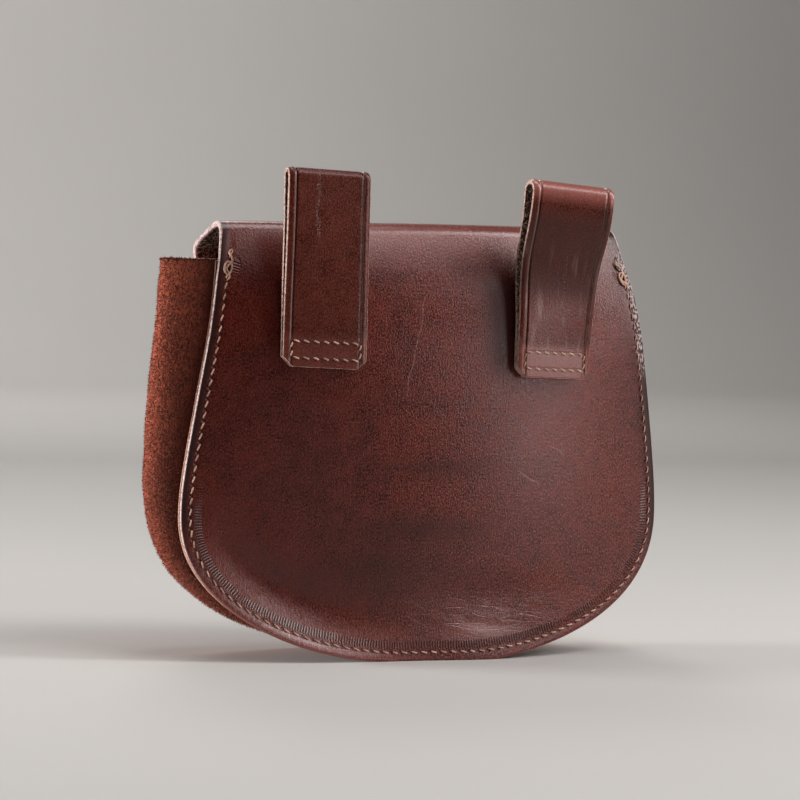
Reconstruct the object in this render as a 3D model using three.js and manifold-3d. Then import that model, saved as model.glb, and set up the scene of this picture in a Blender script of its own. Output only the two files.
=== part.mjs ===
// Belt pouch: smooth leather back and flap in one piece, a leather front, a suede strip round the sides
// and bottom, two belt loops and a closing stud. It stands on its round bottom, pressed flat on the ground.
// Millimetres, +Z up. The belt side faces -Y, the flap closes over the +Y side.

import * as THREE from 'three';
import { mergeVertices } from 'three/addons/utils/BufferGeometryUtils.js';
import Module from 'manifold-3d';

const wasm = await Module();
wasm.setup();

// Thickness of the leathers and the clearance between pieces that touch
const BACK_LEATHER = 2.4;
const FRONT_LEATHER = 2.0;
const SUEDE = 1.4;
const STRAP_LEATHER = 2.0;
const CLEARANCE = 0.3;
const FLAP_CLEARANCE = 0.7;

// Outlines: a superellipse below the widest height, a hyperbolic taper above it
const BACK = { halfWidth: 100, roundness: 2.2 };
const FRONT = { halfWidth: 93, roundness: 2.0 };
const WIDEST_HEIGHT = 55;
const PRESSED_FLAT = 0.6;
const TAPER = 0.163;
const SHOULDER = 15;

// Back panel: bowed about an upright axis, its top leaning forward to the ridge
const BOW = 12;
const BOW_REACH = 100;
const LEAN = 14;
const LEAN_START = 115;
const LEAN_RISE = 49;

// Pocket: seam to seam depth at the bottom and the mouth, and the swell of the front
const POCKET_TOP = 150;
const DEPTH_BOTTOM = 44;
const DEPTH_MOUTH = 24;
const CROWN = 9;
const CROWN_SPAN = 170;

// Fold over the top: height of the sharp corners that the two round bends replace
const RIDGE_CORNER = 169.6;
const RIDGE_TILT = 0.018;
const RIDGE_RADIUS = 7;
const FRONT_CORNER = 154.4;
const FRONT_RADIUS = 6;
const FOLD_END = 135;

// Flap on the front
const FLAP = { halfWidth: 86, roundness: 2.3 };
const FLAP_WIDEST = 106;
const FLAP_TIP = 42;
const FLAP_TIP_FLAT = 0.8;

// Suede strip: width of its turned-out seam flange, and how far its wall bulges past the panel's edge at
// the bottom and at each end of the mouth, where the left side folds outwards and the right side inwards
const FLANGE = 6;
const FLANGE_SETBACK = 0.4;
const FLANGE_BEND = 1.6;
const FLANGE_EASE = 0.3;
const BULGE_BOTTOM = -3;
const BULGE_MOUTH_LEFT = 20;
const BULGE_MOUTH_RIGHT = -22;
const BULGE_SWELL = 1.65;
const INWARD_FOLD_START = 40;
const WALL_START = 3.4;

// Belt loops: straps folded double, sewn at the foot. A row for each gives its slope across the strap at
// the foot and at the top, how far forward of the foot it stands, and how far its top leans sideways
const STRAP_WIDTH = 31;
const STRAP_FOOT = 109.5;
const SEWN_HEIGHT = 18;
const LAYER_GAP = 0.4;
const BELT_GAP = 5.8;
const GAP_OPENS_OVER = 28;
const CORNER_CLIP = 3.5;
const LOOPS = [
  { name: 'belt_loop_left', x: -48.8, top: 185, footSlope: -0.118, topSlope: -0.04, forward: 0.5, sideways: 0 },
  { name: 'belt_loop_right', x: 46, top: 184, footSlope: 0.11, topSlope: -0.03, forward: -2.5, sideways: 3 },
];

// Closing stud: plate inside the front panel, post through holes in panel and flap, round head outside
const STUD_HEIGHT = 62;
const STUD_POST_RADIUS = 2;
const STUD_HOLE_RADIUS = 2.5;
const STUD_PLATE = { radius: 5, thickness: 1.6, gap: 0.7 };
const STUD_HEAD = { radius: 4.6, neck: 1.2 };
const STUD_DRILL = 36;
const STUD_SEGMENTS = 20;
const STUD_HEAD_STEPS = 7;

// Fineness of the meshes
const COLUMNS = 16;
const LOWER_ROWS = 10;
const UPPER_ROWS = 8;
const BEND_STEPS = 5;
const FLAP_ROWS = 9;
const WALL_STEPS = 10;
const SIDE_ROWS = 9;
const FLAT_STEPS = 4;
const LEG_STEPS = 14;
const TURN_STEPS = 6;
const STRAP_COLUMNS = 4;
const WELD = 1e-4;

const leather = new THREE.MeshStandardMaterial({ color: '#4a2418', roughness: 0.42, metalness: 0 });
const frontLeather = new THREE.MeshStandardMaterial({ color: '#46221a', roughness: 0.48, metalness: 0 });
const suede = new THREE.MeshStandardMaterial({ color: '#6b3a28', roughness: 0.95, metalness: 0 });
const strapLeather = new THREE.MeshStandardMaterial({ color: '#4d261a', roughness: 0.45, metalness: 0 });
const brass = new THREE.MeshStandardMaterial({ color: '#8a6a38', roughness: 0.4, metalness: 1 });

const { hypot, min, max, pow, sin, cos, tan, PI } = Math;
const mix = THREE.MathUtils.lerp;
const smooth = (value, from, to) => THREE.MathUtils.smoothstep(value, from, to);
const steps = (count) => Array.from({ length: count + 1 }, (_, index) => index / count);

// Half width of a rounded outline that is widest at one height and ends below it
function roundedHalfWidth(outline, drop, reach) {
  return outline.halfWidth * pow(max(0, 1 - pow(drop / reach, outline.roundness)), 1 / outline.roundness);
}

// Half width of the back or the front panel at a height
function panelHalfWidth(outline, z) {
  if (z < WIDEST_HEIGHT) return roundedHalfWidth(outline, WIDEST_HEIGHT - z, WIDEST_HEIGHT + PRESSED_FLAT);
  return outline.halfWidth - TAPER * (hypot(z - WIDEST_HEIGHT, SHOULDER) - SHOULDER);
}

// Heights from the ground to the widest height, closest together at the round bottom
function lowerHeights(count) {
  return steps(count).map((part) => WIDEST_HEIGHT * (1 - cos((part * PI) / 2)));
}

// Outer face of the back panel
function backFace(x, z) {
  return BOW * pow(x / BOW_REACH, 2) + LEAN * pow(max(0, z - LEAN_START) / LEAN_RISE, 2);
}

// Depth from the outer face of the back to the outer face of the front, at the seams
function seamDepth(z) {
  return mix(DEPTH_BOTTOM, DEPTH_MOUTH, z / POCKET_TOP);
}

// Outer face of the front panel: it follows the back seam and swells between its own edges
function frontFace(x, z) {
  const rim = backFace(panelHalfWidth(BACK, z), z) + seamDepth(z);
  return rim + CROWN * sin((PI * z) / CROWN_SPAN) * (1 - pow(x / panelHalfWidth(FRONT, z), 2));
}

// Outer face of the flap where it hangs over the front
function flapFace(x, z) {
  return frontFace(x, min(z, POCKET_TOP)) + FLAP_CLEARANCE + BACK_LEATHER;
}

// How much longer a sheet of a face y = f(x, z) is measured along Y than square to the face
function slopeFactor(face, x, z) {
  const step = 0.5;
  const alongX = (face(x + step, z) - face(x - step, z)) / (2 * step);
  const alongZ = (face(x, z + step) - face(x, z - step)) / (2 * step);
  return hypot(1, alongX, alongZ);
}

// Points on the round bend that replaces the middle corner of three, in the upright plane (y, z)
function roundBend(before, corner, after, radius) {
  const arriving = corner.clone().sub(before).normalize();
  const leaving = after.clone().sub(corner).normalize();
  const turn = Math.acos(arriving.dot(leaving));
  const tangent = radius * tan(turn / 2);
  const start = corner.clone().addScaledVector(arriving, -tangent);
  const inward = new THREE.Vector2(arriving.y, -arriving.x);
  return steps(BEND_STEPS).map((part) => {
    const angle = turn * part;
    const along = start.clone().addScaledVector(arriving, radius * sin(angle));
    return along.addScaledVector(inward, radius * (1 - cos(angle)));
  });
}

// Points over the top at one x: up the leaning back, round the ridge, down to the front bend and round it
function foldPath(x) {
  const back = new THREE.Vector2(backFace(x, POCKET_TOP), POCKET_TOP);
  const slope = (2 * LEAN * (POCKET_TOP - LEAN_START)) / (LEAN_RISE * LEAN_RISE);
  const ridgeHeight = RIDGE_CORNER + RIDGE_TILT * x;
  const ridge = new THREE.Vector2(back.x + slope * (ridgeHeight - POCKET_TOP), ridgeHeight);
  const front = new THREE.Vector2(flapFace(x, POCKET_TOP), FRONT_CORNER);
  const end = new THREE.Vector2(flapFace(x, FOLD_END), FOLD_END);
  const overRidge = roundBend(back, ridge, front, RIDGE_RADIUS);
  const overFront = roundBend(ridge, front, end, FRONT_RADIUS);
  const between = overRidge.at(-1).clone().lerp(overFront[0], 0.5);
  return [...overRidge, between, ...overFront];
}

// Half width of the flap at a height on the front
function flapHalfWidth(z) {
  return roundedHalfWidth(FLAP, max(0, FLAP_WIDEST - z), FLAP_WIDEST - FLAP_TIP + FLAP_TIP_FLAT);
}

// Row of points spread evenly between its two edges
function gridRow(halfWidth, pointAt) {
  return steps(COLUMNS).map((part) => pointAt(halfWidth * (2 * part - 1)));
}

// Row of points on a face y = f(x, z) at one height
function faceRow(halfWidth, face, z) {
  return gridRow(halfWidth, (x) => new THREE.Vector3(x, face(x, z), z));
}

// Unit normal at each point of a grid: columns run across, rows run along
function gridNormals(grid) {
  const lastRow = grid.length - 1;
  const lastColumn = grid[0].length - 1;
  return grid.map((row, i) => row.map((_, j) => {
    const across = grid[i][min(j + 1, lastColumn)].clone().sub(grid[i][max(j - 1, 0)]);
    const along = grid[min(i + 1, lastRow)][j].clone().sub(grid[max(i - 1, 0)][j]);
    return across.cross(along).normalize();
  }));
}

// Closed sheet on a grid of points: its faces lie outward and inward of the grid along the normals
function sheetGeometry(grid, outward, inward) {
  const rows = grid.length;
  const columns = grid[0].length;
  const normals = gridNormals(grid);
  const positions = [];
  for (const offset of [outward, -inward]) {
    grid.forEach((row, i) => row.forEach((point, j) => {
      positions.push(...point.clone().addScaledVector(normals[i][j], offset).toArray());
    }));
  }
  const outer = (i, j) => i * columns + j;
  const inner = (i, j) => rows * columns + outer(i, j);
  const indices = [];
  const quad = (a, b, c, d) => indices.push(a, b, c, a, c, d);
  for (let i = 0; i < rows - 1; i += 1) {
    for (let j = 0; j < columns - 1; j += 1) {
      quad(outer(i, j), outer(i, j + 1), outer(i + 1, j + 1), outer(i + 1, j));
      quad(inner(i, j), inner(i + 1, j), inner(i + 1, j + 1), inner(i, j + 1));
    }
    quad(outer(i, 0), outer(i + 1, 0), inner(i + 1, 0), inner(i, 0));
    const last = columns - 1;
    quad(outer(i + 1, last), outer(i, last), inner(i, last), inner(i + 1, last));
  }
  for (let j = 0; j < columns - 1; j += 1) {
    quad(outer(0, j + 1), outer(0, j), inner(0, j), inner(0, j + 1));
    quad(outer(rows - 1, j), outer(rows - 1, j + 1), inner(rows - 1, j + 1), inner(rows - 1, j));
  }
  const geometry = new THREE.BufferGeometry();
  geometry.setAttribute('position', new THREE.Float32BufferAttribute(positions, 3));
  geometry.setIndex(indices);
  return geometry;
}

// Presses what would reach below the ground flat on it
function pressFlat(geometry) {
  const position = geometry.getAttribute('position');
  for (let index = 0; index < position.count; index += 1) {
    position.setZ(index, max(0, position.getZ(index)));
  }
  return geometry;
}

// Solid for a boolean cut, made of a closed geometry
function toSolid(geometry) {
  const bare = geometry.clone();
  bare.deleteAttribute('normal');
  bare.deleteAttribute('uv');
  const merged = mergeVertices(bare, WELD);
  return new wasm.Manifold(new wasm.Mesh({
    numProp: 3,
    vertProperties: new Float32Array(merged.getAttribute('position').array),
    triVerts: new Uint32Array(merged.getIndex().array),
  }));
}

// Geometry with a round hole along Y cut through it at the stud
function withStudHole(geometry) {
  const drill = new THREE.CylinderGeometry(STUD_HOLE_RADIUS, STUD_HOLE_RADIUS, STUD_DRILL, STUD_SEGMENTS);
  drill.translate(0, frontFace(0, STUD_HEIGHT), STUD_HEIGHT);
  const cut = toSolid(geometry).subtract(toSolid(drill)).getMesh();
  const holed = new THREE.BufferGeometry();
  holed.setAttribute('position', new THREE.Float32BufferAttribute(cut.vertProperties, 3));
  holed.setIndex(Array.from(cut.triVerts));
  return holed;
}

function named(name, geometry, material) {
  geometry.computeVertexNormals();
  const mesh = new THREE.Mesh(geometry, material);
  mesh.name = name;
  return mesh;
}

// Back panel from the ground up, over the ridge and down the front as the flap
function backAndFlap() {
  const backHeights = [
    ...lowerHeights(LOWER_ROWS),
    ...steps(UPPER_ROWS).slice(1).map((part) => mix(WIDEST_HEIGHT, POCKET_TOP, part)),
  ];
  const back = backHeights.map((z) => faceRow(panelHalfWidth(BACK, z), backFace, z));
  const foldStart = panelHalfWidth(BACK, POCKET_TOP);
  const foldRows = foldPath(0).length;
  const fold = steps(foldRows - 1).map((part, row) => {
    const halfWidth = mix(foldStart, flapHalfWidth(FOLD_END), smooth(part, 0, 1));
    return gridRow(halfWidth, (x) => {
      const point = foldPath(x)[row];
      return new THREE.Vector3(x, point.x, point.y);
    });
  });
  const front = steps(FLAP_ROWS).map((part) => {
    const z = mix(FLAP_TIP, FOLD_END, 1 - sin((part * PI) / 2));
    return faceRow(flapHalfWidth(z), flapFace, z);
  });
  const geometry = sheetGeometry([...back, ...fold, ...front], 0, BACK_LEATHER);
  return named('back_and_flap', withStudHole(pressFlat(geometry)), leather);
}

// Front wall of the pocket, from its top edge down to the ground
function frontPanel() {
  const heights = [
    ...steps(UPPER_ROWS).slice(1).map((part) => mix(WIDEST_HEIGHT, POCKET_TOP, part)).reverse(),
    ...lowerHeights(LOWER_ROWS).reverse(),
  ];
  const grid = heights.map((z) => faceRow(panelHalfWidth(FRONT, z), frontFace, z));
  const geometry = sheetGeometry(grid, 0, FRONT_LEATHER);
  return named('front_panel', withStudHole(pressFlat(geometry)), frontLeather);
}

// Stations along the suede strip: down the left side, over the flat bottom and up the right side,
// each with its points on the two panels' edges and the direction square to the back panel's edge
function stripStations() {
  const heights = [
    ...steps(SIDE_ROWS).slice(1).map((part) => mix(WIDEST_HEIGHT, POCKET_TOP, part)).reverse(),
    ...lowerHeights(LOWER_ROWS).reverse(),
  ];
  const station = (side, z) => {
    const backX = panelHalfWidth(BACK, z);
    const power = BACK.roundness - 1;
    const drop = max(0, WIDEST_HEIGHT - z) / (WIDEST_HEIGHT + PRESSED_FLAT);
    const square = new THREE.Vector2(
      pow(backX / BACK.halfWidth, power) / BACK.halfWidth,
      -pow(drop, power) / (WIDEST_HEIGHT + PRESSED_FLAT),
    ).normalize();
    return {
      back: new THREE.Vector2(side * backX, z),
      front: new THREE.Vector2(side * panelHalfWidth(FRONT, z), z),
      outward: new THREE.Vector2(side * square.x, square.y),
    };
  };
  const left = heights.map((z) => station(-1, z));
  const right = heights.map((z) => station(1, z)).reverse();
  const flat = steps(FLAT_STEPS).slice(1, -1).map((part) => ({
    back: left.at(-1).back.clone().lerp(right[0].back, part),
    front: left.at(-1).front.clone().lerp(right[0].front, part),
    outward: left.at(-1).outward.clone().lerp(right[0].outward, part).normalize(),
  }));
  return [...left, ...flat, ...right];
}

// Bulge of the left side, which swells quickly above the bottom
function leftBulge(z) {
  return mix(BULGE_MOUTH_LEFT, BULGE_BOTTOM, pow(1 - z / POCKET_TOP, BULGE_SWELL));
}

// Bulge of the right side, which folds inwards towards the mouth
function rightBulge(z) {
  return mix(BULGE_BOTTOM, BULGE_MOUTH_RIGHT, smooth(z, INWARD_FOLD_START, POCKET_TOP));
}

// Inner side of the strip at one station: back flange, bulging wall, front flange
function stripSection({ back, front, outward }) {
  const flange = [
    { out: -FLANGE_SETBACK, rise: 0 },
    { out: -FLANGE / 2, rise: 0 },
    { out: -(FLANGE - FLANGE_BEND), rise: 0 },
    { out: -(FLANGE - FLANGE_BEND * FLANGE_EASE), rise: FLANGE_BEND * FLANGE_EASE },
    { out: -FLANGE, rise: FLANGE_BEND },
  ];
  const place = (edge, out) => edge.clone().addScaledVector(outward, out);
  const backSide = flange.map(({ out, rise }) => {
    const spot = place(back, out);
    const face = backFace(spot.x, spot.y) + BACK_LEATHER * slopeFactor(backFace, spot.x, spot.y);
    return new THREE.Vector3(spot.x, face + CLEARANCE + rise, spot.y);
  });
  const frontSide = flange.map(({ out, rise }) => {
    const spot = place(front, out);
    const face = frontFace(spot.x, spot.y) - FRONT_LEATHER * slopeFactor(frontFace, spot.x, spot.y);
    return new THREE.Vector3(spot.x, face - CLEARANCE - rise, spot.y);
  }).reverse();
  const bulge = back.x < 0 ? leftBulge(back.y) : rightBulge(back.y);
  const from = backSide.at(-1).y + WALL_START - FLANGE_BEND;
  const to = frontSide[0].y - WALL_START + FLANGE_BEND;
  const wall = steps(WALL_STEPS).map((part) => {
    const out = -FLANGE + (bulge + FLANGE) * sin(part * PI);
    const across = (1 - cos(part * PI)) / 2;
    const spot = place(back.clone().lerp(front, across), out);
    return new THREE.Vector3(spot.x, mix(from, to, across), spot.y);
  });
  return [...backSide, ...wall, ...frontSide];
}

function gusset() {
  return named('gusset', sheetGeometry(stripStations().map(stripSection), SUEDE, 0), suede);
}

// Middle line of a strap in the plane (distance out from the back panel, height): up the outer layer,
// over the top and down the inner layer
function strapPath(loop) {
  const sewn = STRAP_LEATHER + LAYER_GAP;
  const open = STRAP_LEATHER + BELT_GAP;
  const innerLayer = CLEARANCE + STRAP_LEATHER / 2;
  const turn = open / 2;
  const shoulder = loop.top - STRAP_LEATHER / 2 - turn;
  const opening = STRAP_FOOT + SEWN_HEIGHT;
  const spread = (z) => mix(sewn, open, smooth(z, opening, opening + GAP_OPENS_OVER));
  const leg = steps(LEG_STEPS).map((part) => mix(STRAP_FOOT, shoulder, part));
  const outer = leg.map((z) => new THREE.Vector2(innerLayer + spread(z), z));
  const inner = leg.map((z) => new THREE.Vector2(innerLayer, z)).reverse();
  const over = steps(TURN_STEPS).slice(1, -1).map((part) => (
    new THREE.Vector2(innerLayer + turn * (1 + cos(part * PI)), shoulder + turn * sin(part * PI))
  ));
  return [...outer, ...over, ...inner];
}

// Strap on the panel at its foot, standing free of it above
function beltLoop(loop) {
  const opening = STRAP_FOOT + SEWN_HEIGHT;
  const footFace = backFace(loop.x, opening);
  const freeAt = (z) => smooth(z, opening, opening + GAP_OPENS_OVER);
  const leanAt = (z) => (loop.sideways * max(0, z - opening)) / (loop.top - opening);
  const standing = (x, z) => {
    const slope = mix(loop.footSlope, loop.topSlope, freeAt(z));
    return footFace + loop.forward * freeAt(z) + slope * (x - loop.x);
  };
  const grid = strapPath(loop).map((point) => {
    const z = point.y;
    const clip = CORNER_CLIP * (1 - min(1, (z - STRAP_FOOT) / CORNER_CLIP));
    const halfWidth = STRAP_WIDTH / 2 - clip;
    return steps(STRAP_COLUMNS).map((part) => {
      const x = loop.x + leanAt(z) + halfWidth * (2 * part - 1);
      return new THREE.Vector3(x, mix(backFace(x, z), standing(x, z), freeAt(z)) - point.x, z);
    });
  });
  return named(loop.name, sheetGeometry(grid, STRAP_LEATHER / 2, STRAP_LEATHER / 2), strapLeather);
}

// Stud turned about an axis along Y
function closingStud() {
  const face = frontFace(0, STUD_HEIGHT);
  const plateBack = face - FRONT_LEATHER - STUD_PLATE.gap - STUD_PLATE.thickness;
  const neckEnd = face + FLAP_CLEARANCE + BACK_LEATHER + STUD_HEAD.neck;
  const centre = neckEnd + STUD_HEAD.radius;
  const neckAngle = Math.asin(STUD_POST_RADIUS / STUD_HEAD.radius);
  const head = steps(STUD_HEAD_STEPS).map((part) => {
    const angle = mix(PI - neckAngle, 0, part);
    return new THREE.Vector2(STUD_HEAD.radius * sin(angle), centre + STUD_HEAD.radius * cos(angle));
  });
  const profile = [
    new THREE.Vector2(0, plateBack),
    new THREE.Vector2(STUD_PLATE.radius, plateBack),
    new THREE.Vector2(STUD_PLATE.radius, plateBack + STUD_PLATE.thickness),
    new THREE.Vector2(STUD_POST_RADIUS, plateBack + STUD_PLATE.thickness),
    ...head.slice(0, -1),
    new THREE.Vector2(0, centre + STUD_HEAD.radius),
  ];
  const geometry = new THREE.LatheGeometry(profile, STUD_SEGMENTS);
  geometry.translate(0, 0, STUD_HEIGHT);
  return named('closing_stud', geometry, brass);
}

const pouch = new THREE.Group();
pouch.add(backAndFlap(), gusset(), frontPanel(), ...LOOPS.map(beltLoop), closingStud());

// The origin lies on the ground under the middle of the pouch
const extent = new THREE.Box3().setFromObject(pouch);
const middle = extent.getCenter(new THREE.Vector3());
pouch.position.set(-middle.x, -middle.y, -extent.min.z);

const part = new THREE.Group();
part.add(pouch);

export default part;
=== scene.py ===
"""Belt pouch dressed for pictures: back and flap, gusset, front panel, belt loops, stitches and stud.

Shapes are worked out in millimetres about the middle of the back panel's lower edge, with the belt side
facing -Y, and are put into the frame in metres.
"""

import logging
from dataclasses import dataclass, field
from enum import Enum
from typing import Any, Callable, Mapping, Sequence, Union

import bpy
import numpy as np
from mathutils import Matrix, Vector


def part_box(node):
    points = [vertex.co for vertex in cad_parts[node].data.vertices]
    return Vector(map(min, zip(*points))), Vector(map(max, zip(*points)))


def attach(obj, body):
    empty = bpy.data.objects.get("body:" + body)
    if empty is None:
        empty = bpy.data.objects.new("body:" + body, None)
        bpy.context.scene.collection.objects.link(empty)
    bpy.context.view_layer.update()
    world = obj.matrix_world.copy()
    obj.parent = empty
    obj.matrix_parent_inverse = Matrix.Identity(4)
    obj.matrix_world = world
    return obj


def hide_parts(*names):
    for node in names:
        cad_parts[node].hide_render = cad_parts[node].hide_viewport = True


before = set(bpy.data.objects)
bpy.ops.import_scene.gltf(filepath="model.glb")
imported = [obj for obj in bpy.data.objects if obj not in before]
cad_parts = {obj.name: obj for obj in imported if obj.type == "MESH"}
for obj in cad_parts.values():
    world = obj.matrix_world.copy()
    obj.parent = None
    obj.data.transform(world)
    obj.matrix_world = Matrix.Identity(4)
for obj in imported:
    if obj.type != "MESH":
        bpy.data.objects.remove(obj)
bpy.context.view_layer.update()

LOG = logging.getLogger("belt_pouch")
MM = 0.001
BODY = "root"
FULL_TURN = 2.0 * np.pi
QUARTER_TURN = np.pi / 2.0

# Sizes that a piece shares with its finish, in millimetres
STITCH_PITCH = 4.1
SEAM_INSET = 3.2
STRAP_HALF = 15.9
CREASE_INSET = 2.7
BOX_HALF, BOX_LOW, BOX_HIGH = 13.2, 3.3, 9.6

# Level of the sewn zone where the presser left no ribs
SEWN_ONLY = 0.35

# Step of a measured slope in millimetres, and points compared with a line at once
SLOPE_STEP = 0.4
CHUNK = 4000

Array = np.ndarray
Colour = tuple[float, float, float, float]
Triple = tuple[float, float, float]
Face = Callable[[np.ndarray, np.ndarray], np.ndarray]
Operand = Union["Wire", float]


class Surface(Enum):
    """Which skin of a leather sheet a face belongs to, as a colour of the attribute "skin"."""

    GRAIN = (0.0, 0.0, 0.0, 1.0)
    CUT_EDGE = (1.0, 0.0, 0.0, 1.0)
    FLESH = (0.0, 1.0, 0.0, 1.0)


class Side(Enum):
    """Left or right of the pouch as seen from the belt side."""

    LEFT = -1
    RIGHT = 1


def blend(start: Any, end: Any, part: Any) -> Any:
    """Straight mix of start and end."""
    return start + (end - start) * part


def smooth(value: Any, low: float, high: float) -> Any:
    """Cubic step from 0 at low to 1 at high."""
    part = np.clip((value - low) / (high - low), 0.0, 1.0)
    return part * part * (3.0 - 2.0 * part)


def bell(value: Any, centre: float, width: float) -> Any:
    """Bell curve of height 1: exp of minus the squared distance from centre in widths."""
    return np.exp(-(((value - centre) / width) ** 2))


def unit(vectors: Array) -> Array:
    """Vectors scaled to length 1 along the last axis."""
    return vectors / np.maximum(np.linalg.norm(vectors, axis=-1, keepdims=True), 1e-12)


def run_along(line: Array) -> Array:
    """Length along a chain of points up to each of them."""
    return np.concatenate([[0.0], np.cumsum(np.linalg.norm(np.diff(line, axis=0), axis=1))])


def slopes(face: Face, x: Array, z: Array, step: float = SLOPE_STEP) -> tuple[Array, Array]:
    """Slopes of a face across and up: its change from a step before to a step after, over two steps."""
    across = (face(x + step, z) - face(x - step, z)) / (2.0 * step)
    up = (face(x, z + step) - face(x, z - step)) / (2.0 * step)
    return across, up


def world_matrix(right: Array, up: Array, back: Array, position: Array) -> Matrix:
    """Matrix of a light or camera from its three axes and its position in metres."""
    turn = np.eye(4)
    turn[:3] = np.stack([right, up, back, position], axis=1)
    return Matrix(turn.tolist())


@dataclass(frozen=True)
class Patch:
    """A soft spot on the panel, in millimetres: a bell curve across times a bell curve up."""

    strength: float
    x: float
    wide: float
    z: float
    tall: float

    def at(self, x: Array, z: Array) -> Array:
        """Strength of the spot at places across and heights."""
        return self.strength * bell(x, self.x, self.wide) * bell(z, self.z, self.tall)


def patched(patches: Sequence[Patch], x: Array, z: Array) -> Array:
    """Sum of soft spots at places across and heights."""
    return sum(patch.at(x, z) for patch in patches)


def grid_normals(points: Array) -> Array:
    """Unit normals of a grid (rows, columns, 3): the direction across crossed with the direction along."""
    return unit(np.cross(np.gradient(points, axis=1), np.gradient(points, axis=0)))


def numbered(rows: int, columns: int) -> Array:
    """Numbers of a grid's points, (rows, columns)."""
    return np.arange(rows * columns).reshape(rows, columns)


def ring_of_grid(rows: int, columns: int) -> Array:
    """Numbers of the points on a grid's border, in order round it, starting along the first row."""
    index = numbered(rows, columns)
    return np.concatenate([index[0, :-1], index[:-1, -1], index[-1, :0:-1], index[:0:-1, 0]])


def grid_quads(index: Array) -> Array:
    """Quads (count, 4) of a grid of point numbers, wound so that they face across times along."""
    corners = (index[:-1, :-1], index[:-1, 1:], index[1:, 1:], index[1:, :-1])
    return np.stack([corner.ravel() for corner in corners], axis=1)


def tube_quads(rings: int, sides: int) -> Array:
    """Quads of a tube of rings whose points run round it, each ring closed on itself."""
    index = numbered(rings, sides)
    return grid_quads(np.concatenate([index, index[:, :1]], axis=1))


def capped_tube(rings: int, sides: int) -> Array:
    """Quads of a tube of an even number of sides, each end closed by a strip of quads across its ring."""
    step = np.arange(sides // 2 - 1)
    strip = np.stack([step + 1, step, sides - 1 - step, sides - 2 - step], axis=1)
    return np.concatenate([tube_quads(rings, sides), strip, strip[:, ::-1] + (rings - 1) * sides])


@dataclass
class Piece:
    """Arrays of one mesh, in millimetres about the back panel, before it goes into the frame."""

    points: Array
    faces: Array
    maps: dict[str, Array] = field(default_factory=dict)
    colours: dict[str, Array] = field(default_factory=dict)

    def to_object(self, name: str, place: Array, material: bpy.types.Material) -> bpy.types.Object:
        """Makes the mesh object of this piece and lets it ride on the pouch.

        Args:
            name: Name of the object and its mesh.
            place: Frame position in millimetres of the pattern's origin.
            material: Finish of the piece.

        Returns:
            The new object.
        """
        mesh = bpy.data.meshes.new(name)
        mesh.from_pydata((self.points + place) * MM, [], self.faces)
        corners = self.faces.ravel()
        for title, values in self.maps.items():
            layer = mesh.uv_layers.new(name=title)
            layer.data.foreach_set("uv", (values[corners] * MM).astype(np.float32).ravel())
        for title, values in self.colours.items():
            attribute = mesh.attributes.new(title, "FLOAT_COLOR", "CORNER")
            spread = np.repeat(values, self.faces.shape[1], axis=0)
            attribute.data.foreach_set("color", spread.astype(np.float32).ravel())
        mesh.polygons.foreach_set("use_smooth", np.ones(len(self.faces), dtype=bool))
        mesh.materials.append(material)
        mesh.update()
        item = bpy.data.objects.new(name, mesh)
        bpy.context.scene.collection.objects.link(item)
        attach(item, BODY)
        LOG.info("%s: %d faces", name, len(self.faces))
        return item


@dataclass(frozen=True)
class Cut:
    """Flat cut of a sheet, measured on a point grid of the standing sheet in millimetres."""

    grid: Array

    def declare(self, item: bpy.types.Object) -> None:
        """Logs a sheet's size by the rectangle it is cut from and the area inside its outline.

        The rectangle is the grid's longest row by its longest column, and the area is the sum of its quads,
        each half the length of its diagonals' cross product.

        Args:
            item: The sheet.
        """
        width = np.linalg.norm(np.diff(self.grid, axis=1), axis=2).sum(axis=1).max() * MM
        length = np.linalg.norm(np.diff(self.grid, axis=0), axis=2).sum(axis=0).max() * MM
        rising = self.grid[1:, 1:] - self.grid[:-1, :-1]
        falling = self.grid[1:, :-1] - self.grid[:-1, 1:]
        area = np.linalg.norm(np.cross(rising, falling), axis=-1).sum() / 2.0 * MM * MM
        LOG.info("%s: cut %.1f x %.1f mm, %.1f square cm", item.name, width / MM, length / MM, area * 1.0e4)


RIM_DEPTHS = np.array([0.05, 0.18, 0.5, 0.82, 0.95])
RIM_SWELLS = np.array([0.55, 0.92, 1.0, 0.92, 0.55])


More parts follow.
